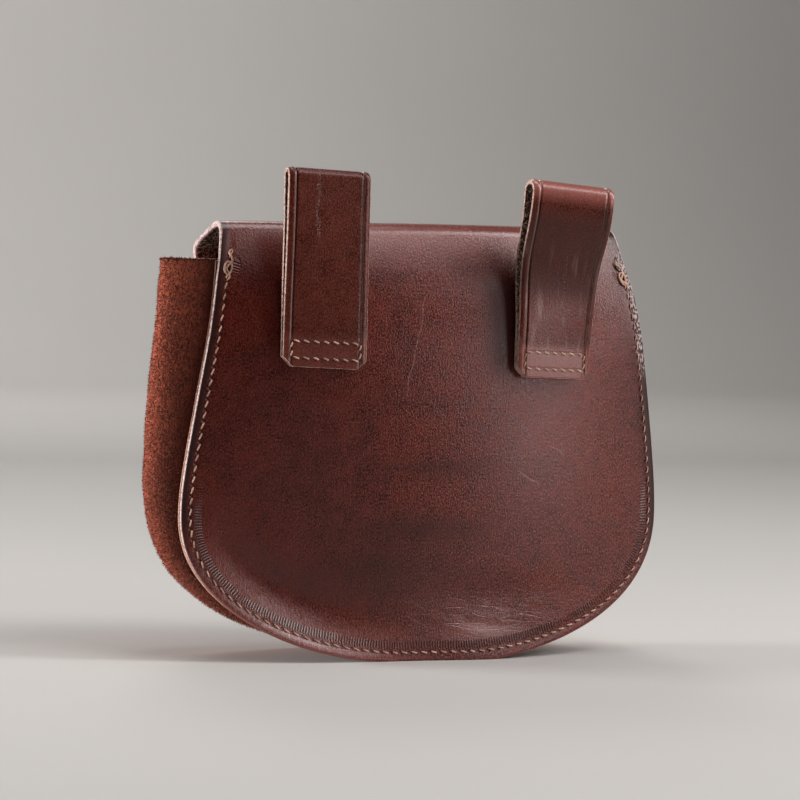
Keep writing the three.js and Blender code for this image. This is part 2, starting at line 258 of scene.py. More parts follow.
def closed_sheet(outer: Array, inner: Array, swell: float,
                 ground: float = 0.0) -> tuple[Array, Array, Array, Array]:
    """Closed sheet between two grids, joined by a cut edge that swells out a little.

    The edge is a strip of rings: each ring lies a share of the way from the outer to the inner border, moved
    out of the sheet along the border's tangent crossed with the normal.

    Args:
        outer: Grid of the grain side, (rows, columns, 3).
        inner: Grid of the flesh side, same shape.
        swell: How far the middle of the cut edge stands out, in millimetres.
        ground: Height below which no point lies.

    Returns:
        Points, quads, the skin colour of each quad, and for each point its index in the grid.
    """
    rows, columns = outer.shape[:2]
    count = rows * columns
    ring = ring_of_grid(rows, columns)
    top = outer.reshape(-1, 3)
    bottom = inner.reshape(-1, 3)
    tangent = unit(np.roll(top[ring], -1, axis=0) - np.roll(top[ring], 1, axis=0))
    outward = unit(np.cross(tangent, unit(top[ring] - bottom[ring])))
    shares = RIM_DEPTHS[:, None, None]
    rim = blend(top[ring], bottom[ring], shares) + outward * swell * RIM_SWELLS[:, None, None]
    points = np.concatenate([top, bottom, rim.reshape(-1, 3)])
    points[:, 2] = np.maximum(points[:, 2], ground)
    front = grid_quads(numbered(rows, columns))
    back = front[:, ::-1] + count
    strips = np.concatenate([ring, 2 * count + np.arange(rim.shape[0] * len(ring)), ring + count])
    edge = strips[tube_quads(len(RIM_DEPTHS) + 2, len(ring))][:, ::-1]
    faces = np.concatenate([front, back, edge])
    skins = np.concatenate([
        np.tile(Surface.GRAIN.value, (len(front), 1)),
        np.tile(Surface.FLESH.value, (len(back), 1)),
        np.tile(Surface.CUT_EDGE.value, (len(edge), 1)),
    ])
    source = np.concatenate([np.arange(count), np.arange(count), np.tile(ring, len(RIM_DEPTHS))])
    return points, faces, skins, source


def nearest_on_line(points: Array, line: Array) -> tuple[Array, Array]:
    """Distance of points to a chain of straight pieces, and how far along the chain the nearest spot is.

    Args:
        points: Array of shape (count, 2).
        line: Corners of the chain, shape (corners, 2).

    Returns:
        Distances and lengths along the chain, each of shape (count,).
    """
    start, step = line[:-1], np.diff(line, axis=0)
    length = np.linalg.norm(step, axis=1)
    run = np.concatenate([[0.0], np.cumsum(length)[:-1]])
    distances, lengths = [], []
    for part in np.array_split(points, max(1, len(points) // CHUNK)):
        offset = part[:, None, :] - start[None]
        along = np.clip((offset * step).sum(-1) / np.maximum(length, 1e-9) ** 2, 0.0, 1.0)
        gap = np.linalg.norm(offset - along[..., None] * step, axis=-1)
        best = gap.argmin(axis=1)
        chosen = np.arange(len(part)), best
        distances.append(gap[chosen])
        lengths.append(run[best] + along[chosen] * length[best])
    return np.concatenate(distances), np.concatenate(lengths)


def resample(line: Array, pitch: float) -> Array:
    """Points spread evenly along a chain of corners, at about a pitch."""
    run = run_along(line)
    stops = np.linspace(0.0, run[-1], max(2, int(round(run[-1] / pitch)) + 1))
    return np.stack([np.interp(stops, run, column) for column in line.T], axis=1)


def moved_in(right: Array, inset: float, top: float) -> Array:
    """Line inside a panel's outline at an even distance from it.

    Args:
        right: Right half of the outline from the bottom up, (count, 2) as x and z; the left half mirrors it.
        inset: Distance from the outline.
        top: Height where the line ends.

    Returns:
        The line from the top left round the bottom to the top right.
    """
    outline = np.concatenate([right[::-1] * np.array([-1.0, 1.0]), right])
    tangent = unit(np.gradient(outline, axis=0))
    line = outline + np.stack([-tangent[:, 1], tangent[:, 0]], axis=1) * inset
    return line[line[:, 1] < top]


class Wire:
    """One output socket of a shader graph, with the operators that add its Math nodes."""

    def __init__(self, graph: "Graph", socket: bpy.types.NodeSocket) -> None:
        """Keeps the graph and the socket."""
        self.graph = graph
        self.socket = socket

    def __add__(self, other: Operand) -> "Wire":
        """Sum."""
        return self.graph.maths("ADD", self, other)

    def __radd__(self, other: float) -> "Wire":
        """Sum with a number on the left."""
        return self.graph.maths("ADD", other, self)

    def __sub__(self, other: Operand) -> "Wire":
        """Difference."""
        return self.graph.maths("SUBTRACT", self, other)

    def __rsub__(self, other: float) -> "Wire":
        """Difference from a number."""
        return self.graph.maths("SUBTRACT", other, self)

    def __mul__(self, other: Operand) -> "Wire":
        """Product."""
        return self.graph.maths("MULTIPLY", self, other)

    def __rmul__(self, other: float) -> "Wire":
        """Product with a number on the left."""
        return self.graph.maths("MULTIPLY", other, self)

    def __pow__(self, other: Operand) -> "Wire":
        """Power."""
        return self.graph.maths("POWER", self, other)

    def step(self, low: float, high: float) -> "Wire":
        """Smooth step from 0 at low to 1 at high, or falling where low is the larger."""
        rising = low < high
        ends = {"From Min": min(low, high), "From Max": max(low, high)}
        ends |= {"To Min": 0.0 if rising else 1.0, "To Max": 1.0 if rising else 0.0}
        settings = {"interpolation_type": "SMOOTHSTEP", "clamp": True}
        return self.graph.add("ShaderNodeMapRange", settings, {"Value": self, **ends})

    def band(self, low: float, high: float, soft: float) -> "Wire":
        """1 between low and high, fading to 0 over soft outside them."""
        return self.step(low - soft, low) * self.step(high + soft, high)

    def sine(self) -> "Wire":
        """Sine of the value in radians."""
        return self.graph.maths("SINE", self)

    def size(self) -> "Wire":
        """Absolute value."""
        return self.graph.maths("ABSOLUTE", self)

    def wrapped(self, pitch: float) -> "Wire":
        """Distance to the nearest whole multiple of the pitch."""
        return self.graph.maths("PINGPONG", self, pitch / 2.0)


class Graph:
    """Node graph of one material."""

    def __init__(self, name: str) -> None:
        """Makes an empty material with nodes."""
        self.material = bpy.data.materials.new(name)
        self.material.use_nodes = True
        self.nodes = self.material.node_tree.nodes
        self.links = self.material.node_tree.links
        self.nodes.clear()

    def node(self, kind: str, settings: Mapping[str, Any], inputs: Mapping[Any, Any]) -> bpy.types.Node:
        """Adds a node.

        Args:
            kind: Type of the node.
            settings: Properties, set before its sockets.
            inputs: Values or wires by socket name or number.

        Returns:
            The node.
        """
        node = self.nodes.new(kind)
        for key, value in settings.items():
            setattr(node, key, value)
        for key, value in inputs.items():
            if isinstance(value, Wire):
                self.links.new(value.socket, node.inputs[key])
            else:
                node.inputs[key].default_value = value
        return node

    def add(self, kind: str, settings: Mapping[str, Any], inputs: Mapping[Any, Any], output: Any = 0) -> Wire:
        """Adds a node and gives the output of a name or number."""
        return Wire(self, self.node(kind, settings, inputs).outputs[output])

    def maths(self, operation: str, first: Operand, second: Operand = 0.0) -> Wire:
        """Math node on two values."""
        return self.add("ShaderNodeMath", {"operation": operation}, {0: first, 1: second})

    def mix(self, first: Any, second: Any, part: Operand) -> Wire:
        """Mix of two colours."""
        settings = {"data_type": "RGBA", "blend_type": "MIX", "clamp_factor": True}
        return self.add("ShaderNodeMix", settings, {0: part, 6: first, 7: second}, 2)

    def map(self, title: str) -> Wire:
        """A UV map of the piece, in metres."""
        return self.add("ShaderNodeUVMap", {"uv_map": title}, {})

    def inside(self) -> Wire:
        """Place in the piece itself, in metres."""
        return self.add("ShaderNodeTexCoord", {}, {}, "Object")

    def axes(self, vector: Wire) -> tuple[Wire, Wire, Wire]:
        """The three parts of a vector."""
        outputs = self.node("ShaderNodeSeparateXYZ", {}, {0: vector}).outputs
        return Wire(self, outputs[0]), Wire(self, outputs[1]), Wire(self, outputs[2])

    def tint(self, title: str) -> tuple[Wire, Wire, Wire]:
        """Red, green and blue of a colour attribute of the piece."""
        colour = self.add("ShaderNodeAttribute", {"attribute_name": title}, {}, "Color")
        outputs = self.node("ShaderNodeSeparateColor", {}, {0: colour}).outputs
        return Wire(self, outputs[0]), Wire(self, outputs[1]), Wire(self, outputs[2])

    def noise(self, place: Wire, scale: float, detail: float = 2.0, twist: float = 0.0) -> Wire:
        """Noise from 0 to 1 with its scale per metre."""
        inputs = {"Vector": place, "Scale": scale, "Detail": detail, "Roughness": 0.6, "Distortion": twist}
        return self.add("ShaderNodeTexNoise", {"noise_dimensions": "3D"}, inputs)

    def cell_borders(self, place: Wire, scale: float) -> Wire:
        """Distance to the borders of scattered cells, with their scale per metre."""
        settings = {"feature": "DISTANCE_TO_EDGE", "voronoi_dimensions": "2D"}
        return self.add("ShaderNodeTexVoronoi", settings, {"Vector": place, "Scale": scale}, "Distance")

    def bent(self, place: Wire, scale: float, reach: float) -> Wire:
        """Coordinates pushed about by noise of a scale per metre, over a reach in metres."""
        inputs = {"Vector": place, "Scale": scale}
        push = self.add("ShaderNodeTexNoise", {"noise_dimensions": "3D"}, inputs, "Color")
        inputs = {0: push, 1: (reach, reach, reach), 2: place}
        return self.add("ShaderNodeVectorMath", {"operation": "MULTIPLY_ADD"}, inputs)

    def stretched(self, place: Wire, scale: Triple, turn: float = 0.0) -> Wire:
        """Coordinates scaled, and turned by an angle in the plane of a map."""
        inputs = {"Vector": place, "Scale": scale, "Rotation": (0.0, 0.0, turn)}
        return self.add("ShaderNodeMapping", {}, inputs)

    def finish(self, colour: Any, roughness: Any, height: Wire, fixed: Mapping[str, Any]) -> bpy.types.Material:
        """Closes the graph with one Principled shader.

        Args:
            colour: Base colour, a wire or a colour.
            roughness: Roughness, a wire or a number.
            height: Relief in metres, which a Bump node turns into the normal.
            fixed: Values that are the same all over, by socket name.

        Returns:
            The finished material.
        """
        bump = self.add("ShaderNodeBump", {}, {"Strength": 1.0, "Distance": 1.0, "Height": height})
        inputs = {"Base Color": colour, "Roughness": roughness, "Normal": bump, **fixed}
        shader = self.add("ShaderNodeBsdfPrincipled", {}, inputs)
        self.node("ShaderNodeOutputMaterial", {}, {"Surface": shader})
        return self.material


@dataclass(frozen=True)
class LeatherFinish:
    """Smooth dyed leather: mottled reddish brown with fine grain, pale cut edges and a rough flesh side.

    Heights are metres.
    """

    deep: Colour = (0.045, 0.0040, 0.0018, 1.0)
    warm: Colour = (0.172, 0.0172, 0.0076, 1.0)
    pale_rose: Colour = (0.30, 0.090, 0.075, 1.0)
    violet: Colour = (0.085, 0.0090, 0.0090, 1.0)
    olive: Colour = (0.120, 0.0170, 0.0045, 1.0)
    glint_pale: Colour = (0.43, 0.225, 0.195, 1.0)
    hollow: Colour = (0.022, 0.0035, 0.0020, 1.0)
    edge_pale: Colour = (0.72, 0.57, 0.55, 1.0)
    edge_dark: Colour = (0.26, 0.12, 0.085, 1.0)
    flesh: Colour = (0.06, 0.02, 0.012, 1.0)
    flesh_pale: Colour = (0.80, 0.62, 0.52, 1.0)
    sheen_tint: Colour = (1.0, 0.78, 0.77, 1.0)
    roughness: float = 0.29
    edge_roughness: float = 0.62
    flesh_roughness: float = 0.95
    wax: float = 0.62
    wax_roughness: float = 0.24
    hue_share: float = 0.45
    grain_height: float = 1.4e-4
    speckle: float = 1.0
    glint_share: float = 0.37
    grain_shade_share: float = 0.44
    edge_fuzz: float = 1.1e-4
    flesh_fuzz: float = 3.0e-4
    flesh_tufts: float = 2.0e-4

    def skin(self, graph: Graph) -> tuple[Wire, Wire, Wire, Wire]:
        """Mottled colour, roughness and relief of the grain side, on the map "flat".

        The relief is grain of about half a millimetre, drawn out up and down, with larger pebbles and fine
        streaks along the hide. The colour wanders between the deep and the warm brown in clouds of 40 mm with
        finer patches, speckles and streaks inside, and leans to violet or olive in spots of 3 mm. The grain's
        crests are painted paler as glints and its hollows painted darker as shade, most of all towards the
        right, where the light falls.

        Args:
            graph: Graph of the material.

        Returns:
            The map, the colour, the roughness and the relief in metres.
        """
        place = graph.map("flat")
        clouds = graph.noise(place, 24.0, 4.0, 0.6)
        patches = graph.noise(place, 150.0, 4.0, 0.4)
        hue = graph.noise(place, 330.0, 3.0, 0.3)
        grain = graph.noise(graph.stretched(place, (1.0, 0.62, 1.0)), 2050.0, 1.0, 0.2)
        pebble = graph.noise(place, 800.0, 2.0, 0.3)
        streaks = graph.noise(graph.stretched(place, (1.0, 0.09, 1.0)), 1700.0, 2.0)
        fine = (grain * 0.7 + pebble * 0.3 - 0.5) * self.speckle
        tone = clouds.step(0.30, 0.70) * 0.42 + patches.step(0.30, 0.70) * 0.30 + 0.12
        tone = tone + fine * 2.0 + (streaks - 0.5) * (1.3 * self.speckle)
        colour = graph.mix(self.deep, self.warm, tone)
        colour = graph.mix(colour, self.violet, hue.step(0.54, 0.72) * self.hue_share)
        colour = graph.mix(colour, self.olive, hue.step(0.46, 0.28) * self.hue_share)
        # Painted glints on the grain's crests and painted shade in its hollows, stronger towards the right
        # where the light falls.
        across, _, _ = graph.axes(place)
        lit = (0.25 + across.step(-0.05, 0.02) * 0.75) * self.speckle
        colour = graph.mix(colour, self.glint_pale, grain.step(0.50, 0.72) * lit * self.glint_share)
        colour = graph.mix(colour, self.hollow, grain.step(0.50, 0.30) * lit * self.grain_shade_share)
        roughness = self.roughness + fine * 0.8 + (patches - 0.5) * 0.24
        relief = (grain * 0.8 + pebble * 0.7 + streaks * 0.45) * self.grain_height
        return place, colour, roughness, relief

    def constants(self) -> dict[str, Any]:
        """Shader values that are the same all over."""
        return {"Specular IOR Level": 0.5, "Specular Tint": self.sheen_tint}

    def polished(self, graph: Graph, gloss_and_painted_sheen: Wire) -> dict[str, Any]:
        """Shader values of the waxed shine where the mask says so, on the grain side only."""
        edge, flesh, _ = graph.tint("skin")
        coat = gloss_and_painted_sheen * self.wax * (1.0 - edge) * (1.0 - flesh)
        return {"Coat Weight": coat, "Coat Roughness": self.wax_roughness}

    def with_edges(self, graph: Graph, colour: Wire, roughness: Wire, relief: Wire) -> tuple[Wire, Wire, Wire]:
        """Adds the cut edge and the fuzzy flesh side where the attribute "skin" says so.

        The cut edge is pale and flecked, and darker near the ground as painted shade.

        Args:
            graph: Graph of the material.
            colour: Colour of the grain side.
            roughness: Roughness of the grain side.
            relief: Relief of the grain side.

        Returns:
            Colour, roughness and relief of the whole piece.
        """
        edge, flesh, _ = graph.tint("skin")
        inside = graph.inside()
        fibres = graph.noise(inside, 900.0, 3.0, 0.4)
        tufts = graph.noise(inside, 2200.0, 2.0)
        _, _, height = graph.axes(inside)
        # Pale flecks only above about 24 mm; lower down the cut edge gets painted shade.
        unshaded_flecks = (fibres * 0.6 + tufts * 0.4).step(0.36, 0.58) * height.step(0.024, 0.050)
        shaded_low_edge = graph.mix(self.pale_rose, self.edge_dark, height.step(0.0, 0.04))
        edge_colour = graph.mix(shaded_low_edge, self.edge_pale, unshaded_flecks)
        fuzz = (fibres * 0.5 + tufts * 0.5).step(0.50, 0.60)
        flesh_colour = graph.mix(self.flesh, self.flesh_pale, fuzz)
        colour = graph.mix(graph.mix(colour, edge_colour, edge), flesh_colour, flesh)
        grain = 1.0 - (edge + flesh)
        roughness = roughness * grain + (self.edge_roughness * edge + self.flesh_roughness * flesh)
        relief = relief * grain + fibres * (self.edge_fuzz * edge + self.flesh_fuzz * flesh)
        return colour, roughness, relief + tufts * flesh * self.flesh_tufts

    def material(self, name: str) -> bpy.types.Material:
        """Plain leather with no seam of its own."""
        graph = Graph(name)
        _, colour, roughness, relief = self.skin(graph)
        colour, roughness, relief = self.with_edges(graph, colour, roughness, relief)
        return graph.finish(colour, roughness, relief, self.constants())


@dataclass(frozen=True)
class Scratch:
    """A fine scuffed line on the panel, between two points in millimetres of the map "flat"."""

    start: tuple[float, float]
    end: tuple[float, float]
    width: float = 0.35
    strength: float = 1.0

    def mask(self, graph: Graph, place: Wire) -> Wire:
        """Line mask: distance to the straight line between the points, faded at both ends.

        Args:
            graph: Graph of the material.
            place: Coordinates in metres.

        Returns:
            1 on the line, 0 off it.
        """
        across = self.end[0] - self.start[0]
        up = self.end[1] - self.start[1]
        length = float(np.hypot(across, up)) * MM
        turn = float(np.arctan2(up, across))
        start = (self.start[0] * MM, self.start[1] * MM, 0.0)
        moved = graph.add("ShaderNodeVectorMath", {"operation": "SUBTRACT"}, {0: place, 1: start})
        inputs = {"Vector": moved, "Angle": -turn}
        turned = graph.add("ShaderNodeVectorRotate", {"rotation_type": "Z_AXIS"}, inputs)
        along, off, _ = graph.axes(turned)
        waver = (graph.noise(place, 90.0, 1.0) - 0.5) * 0.0035
        line = (off + waver).size().step(self.width * MM, 0.0)
        return line * along.band(0.12 * length, 0.88 * length, 0.12 * length) * self.strength


@dataclass(frozen=True)
class PanelFinish(LeatherFinish):
    """Leather of the back and flap: sewing marks along the seam, scratches, creases, painted shade and painted
    highlights.
    """

    shade_dark: Colour = (0.020, 0.0035, 0.0022, 1.0)
    scuff_and_highlight_pale: Colour = (0.45, 0.30, 0.27, 1.0)
    highlight_pale: Colour = (0.62, 0.50, 0.48, 1.0)
    pit_dark: Colour = (0.010, 0.003, 0.002, 1.0)
    rib_pitch: float = 1.12
    rib_height: float = 2.6e-4
    pit_depth: float = 4.5e-4
    crease_depth: float = 2.2e-4
    fold_height: float = 1.4e-4
    scuff_height: float = 2.0e-5
    scratches: tuple[Scratch, ...] = ()

    def seam_marks(self, graph: Graph) -> tuple[Wire, Wire, Wire, Wire]:
        """Marks of the sewing on the map "seam", whose axes are the run along the seam and the inset.

        The presser left short ribs square to the seam, a sine along the run within a band of insets. Each
        needle hole is a small pit at a whole number of stitch pitches.

        Args:
            graph: Graph of the material.

        Returns:
            Relief in metres, pit mask, rib mask and mask of the ribs' crests.
        """
        seam = graph.map("seam")
        run, inset, _ = graph.axes(seam)
        _, _, sewing = graph.tint("marks")
        sewn = sewing.step(0.1, 0.3)
        ribbed = sewing.step(SEWN_ONLY, 1.0)
        waver = graph.noise(seam, 70.0, 2.0)
        band = inset.band(5.0e-3, 6.8e-3, 0.9e-3) * ribbed * waver.step(0.25, 0.5)
        ribs = ((run + waver * 0.0012) * (FULL_TURN / (self.rib_pitch * MM))).sine() * band
        along = run.wrapped(STITCH_PITCH * MM)
        off = (inset - SEAM_INSET * MM).size()
        pit = ((along * along + off * off) ** 0.5).step(0.85e-3, 0.3e-3) * sewn
        relief = ribs * self.rib_height - pit * self.pit_depth
        return relief, pit, band, ribs.step(0.25, 0.8)

    def edge_glints(self, graph: Graph, place: Wire) -> Wire:
        """Painted highlight: pale flakes as glints near the right edge by the seam's upper end."""
        _, inset, _ = graph.axes(graph.map("seam"))
        across, run, _ = graph.axes(place)
        zone = inset.step(5.0e-3, 1.5e-3) * across.step(0.055, 0.065) * run.band(0.118, 0.152, 0.012)
        flakes = graph.noise(graph.stretched(place, (1.0, 0.5, 1.0)), 1300.0, 2.0)
        return zone * flakes.step(0.48, 0.58)

    def material(self, name: str) -> bpy.types.Material:
        """Panel leather with its sewing marks, creases and scratches, and its painted shade and painted
        highlights.

        The creases are borders of cells drawn out sideways and bent by two sizes of noise.
        """
        graph = Graph(name)
        place, colour, roughness, relief = self.skin(graph)
        marks, pit, band, crests = self.seam_marks(graph)
        creased, shade, _ = graph.tint("marks")
        gloss_and_painted_sheen = graph.add("ShaderNodeAttribute", {"attribute_name": "marks"}, {}, "Alpha")
        fold = graph.noise(graph.stretched(place, (0.25, 1.0, 1.0), 0.08), 210.0, 2.0, 0.6) * creased
        bent = graph.bent(graph.bent(place, 40.0, 0.010), 260.0, 0.0009)
        web = graph.cell_borders(graph.stretched(bent, (0.09, 1.0, 1.0), 0.05), 380.0)
        crease = web.step(0.10, 0.0) * creased * graph.noise(place, 160.0, 2.0).step(0.35, 0.55)
        relief = relief * (1.0 - shade * 0.6) * (1.0 + creased * 0.7)
        relief = relief + marks - crease * self.crease_depth + fold * self.fold_height
        scuffs_and_crease_highlight = sum((scratch.mask(graph, place) for scratch in self.scratches), crease * 0.5)
        relief = relief + scuffs_and_crease_highlight * self.scuff_height
        # Painted highlight: paler where glossy. Painted shade where the marks' green channel says so.
        colour = graph.mix(graph.mix(colour, self.pale_rose, gloss_and_painted_sheen * 0.65), self.shade_dark, shade)
        # Pale along the scratches, and along the creases as a painted highlight of their rims.
        colour = graph.mix(colour, self.scuff_and_highlight_pale, scuffs_and_crease_highlight * 0.45)
        # Painted highlight of pale flakes as glints along the right edge.
        colour = graph.mix(colour, self.edge_pale, self.edge_glints(graph, place) * 0.75)
        # Painted highlight at the lower left: pale streaks and rib crests, with painted shade between them.
        # Pale rib crests and painted shade between the ribs all along the seam.
        across, run, _ = graph.axes(place)
        highlight_zone = gloss_and_painted_sheen * run.step(0.055, 0.035) * across.step(0.0, -0.03)
        hairs = graph.noise(graph.stretched(place, (1.0, 0.16, 1.0)), 2000.0, 3.0).step(0.44, 0.66)
        colour = graph.mix(colour, self.highlight_pale, highlight_zone * (hairs * 0.24 + crests * 0.75) + crests * 0.14)
        colour = graph.mix(colour, self.hollow, band * (1.0 - crests) * 0.35 + highlight_zone * (1.0 - hairs) * 0.15)
        colour = graph.mix(colour, self.pit_dark, pit * 0.6)
        roughness = roughness - gloss_and_painted_sheen * 0.09 - band * 0.05 + pit * 0.3 - creased * 0.06 + shade * 0.16
        colour, roughness, relief = self.with_edges(graph, colour, roughness, relief)
        coat = self.polished(graph, gloss_and_painted_sheen * (1.0 + creased * 0.5))
        return graph.finish(colour, roughness, relief, {**self.constants(), **coat})


@dataclass(frozen=True)
class StrapFinish(LeatherFinish):
    """Leather of the belt loops: lines creased along both edges with painted shade and highlight beside them,
    and one cracked fold.
    """

    deep: Colour = (0.042, 0.0060, 0.0028, 1.0)
    warm: Colour = (0.165, 0.0245, 0.0110, 1.0)
    pale_rose: Colour = (0.40, 0.125, 0.100, 1.0)
    edge_pale: Colour = (0.62, 0.42, 0.35, 1.0)
    edge_dark: Colour = (0.12, 0.048, 0.033, 1.0)
    line_shade: Colour = (0.012, 0.004, 0.003, 1.0)
    line_highlight: Colour = (0.30, 0.19, 0.16, 1.0)
    crackle_pale: Colour = (0.42, 0.30, 0.26, 1.0)
    groove_shade: Colour = (0.012, 0.004, 0.002, 1.0)
    streak_highlight: Colour = (0.42, 0.27, 0.24, 1.0)
    grain_height: float = 0.9e-4
    speckle: float = 0.45
    crackle_depth: float = 1.2e-4
    groove_depth: float = 1.5e-4
    crack: Triple = (0.0, 0.0, 0.0)
    head: float = 72.0
    head_gloss_and_painted_light: float = 0.0
    foot_gloss_and_painted_sheen: float = 0.2

    def material(self, name: str) -> bpy.types.Material:
        """Strap leather with its creased lines, crackle and stitch groove, painted shade in the groove and in a
        band part way up, painted highlight streaks, and glossy ends painted paler as highlights.
        """
        graph = Graph(name)
        place, colour, roughness, relief = self.skin(graph)
        across, run, _ = graph.axes(place)
        off = STRAP_HALF * MM - across.size() - CREASE_INSET * MM
        line = off.size().step(0.55e-3, 0.15e-3)
        # Painted shade on the inner side of each creased line and a painted highlight on its outer side.
        dark = (off - 0.25e-3).size().step(0.45e-3, 0.1e-3)
        wear = graph.noise(place, 240.0, 3.0).step(0.25, 0.5)
        bright = (off + 0.35e-3).size().step(0.30e-3, 0.08e-3) * wear
        colour = graph.mix(graph.mix(colour, self.line_shade, dark * 0.8), self.line_highlight, bright * 0.55)
        middle, low, high = self.crack
        wander = (graph.noise(place, 160.0, 3.0) - 0.5) * 0.006
        fold = (across - middle * MM + wander).size().step(0.9e-3, 0.1e-3)
        fold = fold * run.band(low * MM, high * MM, 6.0e-3)
        crackle = fold * graph.noise(place, 1500.0, 2.0).step(0.50, 0.62)
        colour = graph.mix(colour, self.crackle_pale, crackle * 0.5)
        low, high = BOX_LOW * MM, BOX_HIGH * MM
        rows = (run - low).size().step(1.0e-3, 0.3e-3) + (run - high).size().step(1.0e-3, 0.3e-3)
        sides = (across.size() - BOX_HALF * MM).size().step(0.9e-3, 0.3e-3) * run.band(low, high, 0.5e-3)
        groove = rows * across.size().step(14.0e-3, 13.4e-3) + sides
        # Painted shade in the stitch groove.
        colour = graph.mix(colour, self.groove_shade, groove * 0.45)
        relief = relief - crackle * self.crackle_depth - groove * self.groove_depth
        # Painted highlight streaks low on the strap and a band of painted shade above them, where the head's
        # gloss and painted light say so.
        slanted = graph.stretched(place, (1.0, 0.13, 1.0), -0.22)
        strokes = graph.noise(slanted, 330.0, 3.0).step(0.52, 0.70) * run.band(14.0e-3, 46.0e-3, 9.0e-3)
        colour = graph.mix(colour, self.streak_highlight, strokes * self.head_gloss_and_painted_light * 0.36)
        dull = run.band(36.0e-3, 58.0e-3, 10.0e-3) * self.head_gloss_and_painted_light
        colour = graph.mix(colour, self.hollow, dull * 0.5)
        roughness = roughness - line * 0.12 + dull * 0.14
        head = run.band(self.head * MM, 1.2 * self.head * MM, 6.0e-3)
        foot = run.step(14.0e-3, 9.0e-3)
        gloss_and_painted_sheen = head * self.head_gloss_and_painted_light + foot * self.foot_gloss_and_painted_sheen
        # Glossy head and foot, painted paler as highlights.
        colour = graph.mix(colour, self.pale_rose, gloss_and_painted_sheen * 0.85)
        colour, roughness, relief = self.with_edges(graph, colour, roughness, relief)
        coat = self.polished(graph, gloss_and_painted_sheen + bright * 0.6)
        return graph.finish(colour, roughness, relief, {**self.constants(), **coat})


@dataclass(frozen=True)
class SuedeFinish:
    """Suede with its nap outwards: clumped reddish-brown fibres, paler where the nap is brushed up."""

    deep: Colour = (0.045, 0.0065, 0.0036, 1.0)
    fair: Colour = (0.90, 0.212, 0.114, 1.0)
    edge_dark: Colour = (0.42, 0.17, 0.105, 1.0)
    edge_pale: Colour = (0.80, 0.48, 0.36, 1.0)
    sheen: Colour = (0.80, 0.25, 0.15, 1.0)
    roughness: float = 0.95
    seam_shade: float = 0.05
    nap_height: float = 6.0e-4

    def material(self, name: str) -> bpy.types.Material:
        """Nap from wide strokes, clumps in wandering directions and fibres, with painted shade beside the back
        seam.

        Clumps and fibres set colour and relief together.
        """
        graph = Graph(name)
        place = graph.inside()
        strokes = graph.noise(place, 60.0, 3.0, 0.5)
        wandering = graph.stretched(graph.bent(place, 220.0, 0.0022), (1.0, 1.0, 0.42))
        clumps = graph.noise(wandering, 1700.0, 3.0, 0.5)
        fibres = graph.noise(place, 2700.0, 2.0, 0.3)
        height = clumps * 0.55 + fibres * 0.45
        tone = (height + (strokes - 0.5) * 0.16).step(0.38, 0.64)
        across, _, _ = graph.axes(graph.map("flat"))
        # Painted shade beside the back seam, fading out from 9 to 38 mm across the strip.
        tone = tone * (self.seam_shade + across.step(0.009, 0.038) * (1.0 - self.seam_shade))
        edge, _, _ = graph.tint("skin")
        edge_colour = graph.mix(self.edge_dark, self.edge_pale, fibres.step(0.36, 0.6))
        colour = graph.mix(graph.mix(self.deep, self.fair, tone), edge_colour, edge)
        fixed = {"Specular IOR Level": 0.12, "Sheen Weight": 0.35, "Sheen Roughness": 0.5}
        fixed["Sheen Tint"] = self.sheen
        return graph.finish(colour, self.roughness, height * self.nap_height, fixed)


@dataclass(frozen=True)
class FibreFinish:
    """Loose fibres of the suede's nap, each with a tone of its own from the attribute "tone"."""

    deep: Colour = (0.05, 0.009, 0.005, 1.0)
    fair: Colour = (0.72, 0.20, 0.125, 1.0)
    roughness: float = 0.9
    fleck_height: float = 5.0e-5

    def material(self, name: str) -> bpy.types.Material:
        """Colour from the fibre's tone, matt."""
        graph = Graph(name)
        tone, _, _ = graph.tint("tone")
        height = graph.noise(graph.inside(), 2400.0, 1.0) * self.fleck_height
        fixed = {"Specular IOR Level": 0.1, "Sheen Weight": 0.2, "Sheen Roughness": 0.6}
        return graph.finish(graph.mix(self.deep, self.fair, tone), self.roughness, height, fixed)


@dataclass(frozen=True)
class ThreadFinish:
    """Waxed sewing thread with visible ply, on the map "thread" of run and turn."""

    deep: Colour = (0.30, 0.125, 0.078, 1.0)
    fair: Colour = (0.86, 0.55, 0.42, 1.0)
    roughness: float = 0.62
    ply: float = 0.55
    ply_height: float = 6.0e-5

    def material(self, name: str) -> bpy.types.Material:
        """Slanted ply stripes and a tone that wanders from stitch to stitch."""
        graph = Graph(name)
        run, turn, _ = graph.axes(graph.map("thread"))
        stripes = (run * (FULL_TURN / (self.ply * MM)) + turn * (FULL_TURN / MM)).sine() * 0.5 + 0.5
        wander = graph.noise(graph.inside(), 130.0, 2.0)
        colour = graph.mix(self.deep, self.fair, stripes * 0.45 + wander.step(0.3, 0.7) * 0.6)
        return graph.finish(colour, self.roughness, stripes * self.ply_height, {"Specular IOR Level": 0.4})


@dataclass(frozen=True)
class BrassFinish:
    """Brass of the stud, a little dulled in patches."""

    bright: Colour = (0.56, 0.38, 0.15, 1.0)
    dull: Colour = (0.28, 0.17, 0.075, 1.0)
    roughness: float = 0.26
    fine_height: float = 6.0e-6

    def material(self, name: str) -> bpy.types.Material:
        """Tarnish clouds over turned metal."""
        graph = Graph(name)
        place = graph.inside()
        clouds = graph.noise(place, 320.0, 4.0, 0.5)
        fine = graph.noise(place, 2600.0, 2.0)
        colour = graph.mix(self.bright, self.dull, clouds.step(0.45, 0.75))
        return graph.finish(colour, self.roughness + clouds * 0.22, fine * self.fine_height, {"Metallic": 1.0})


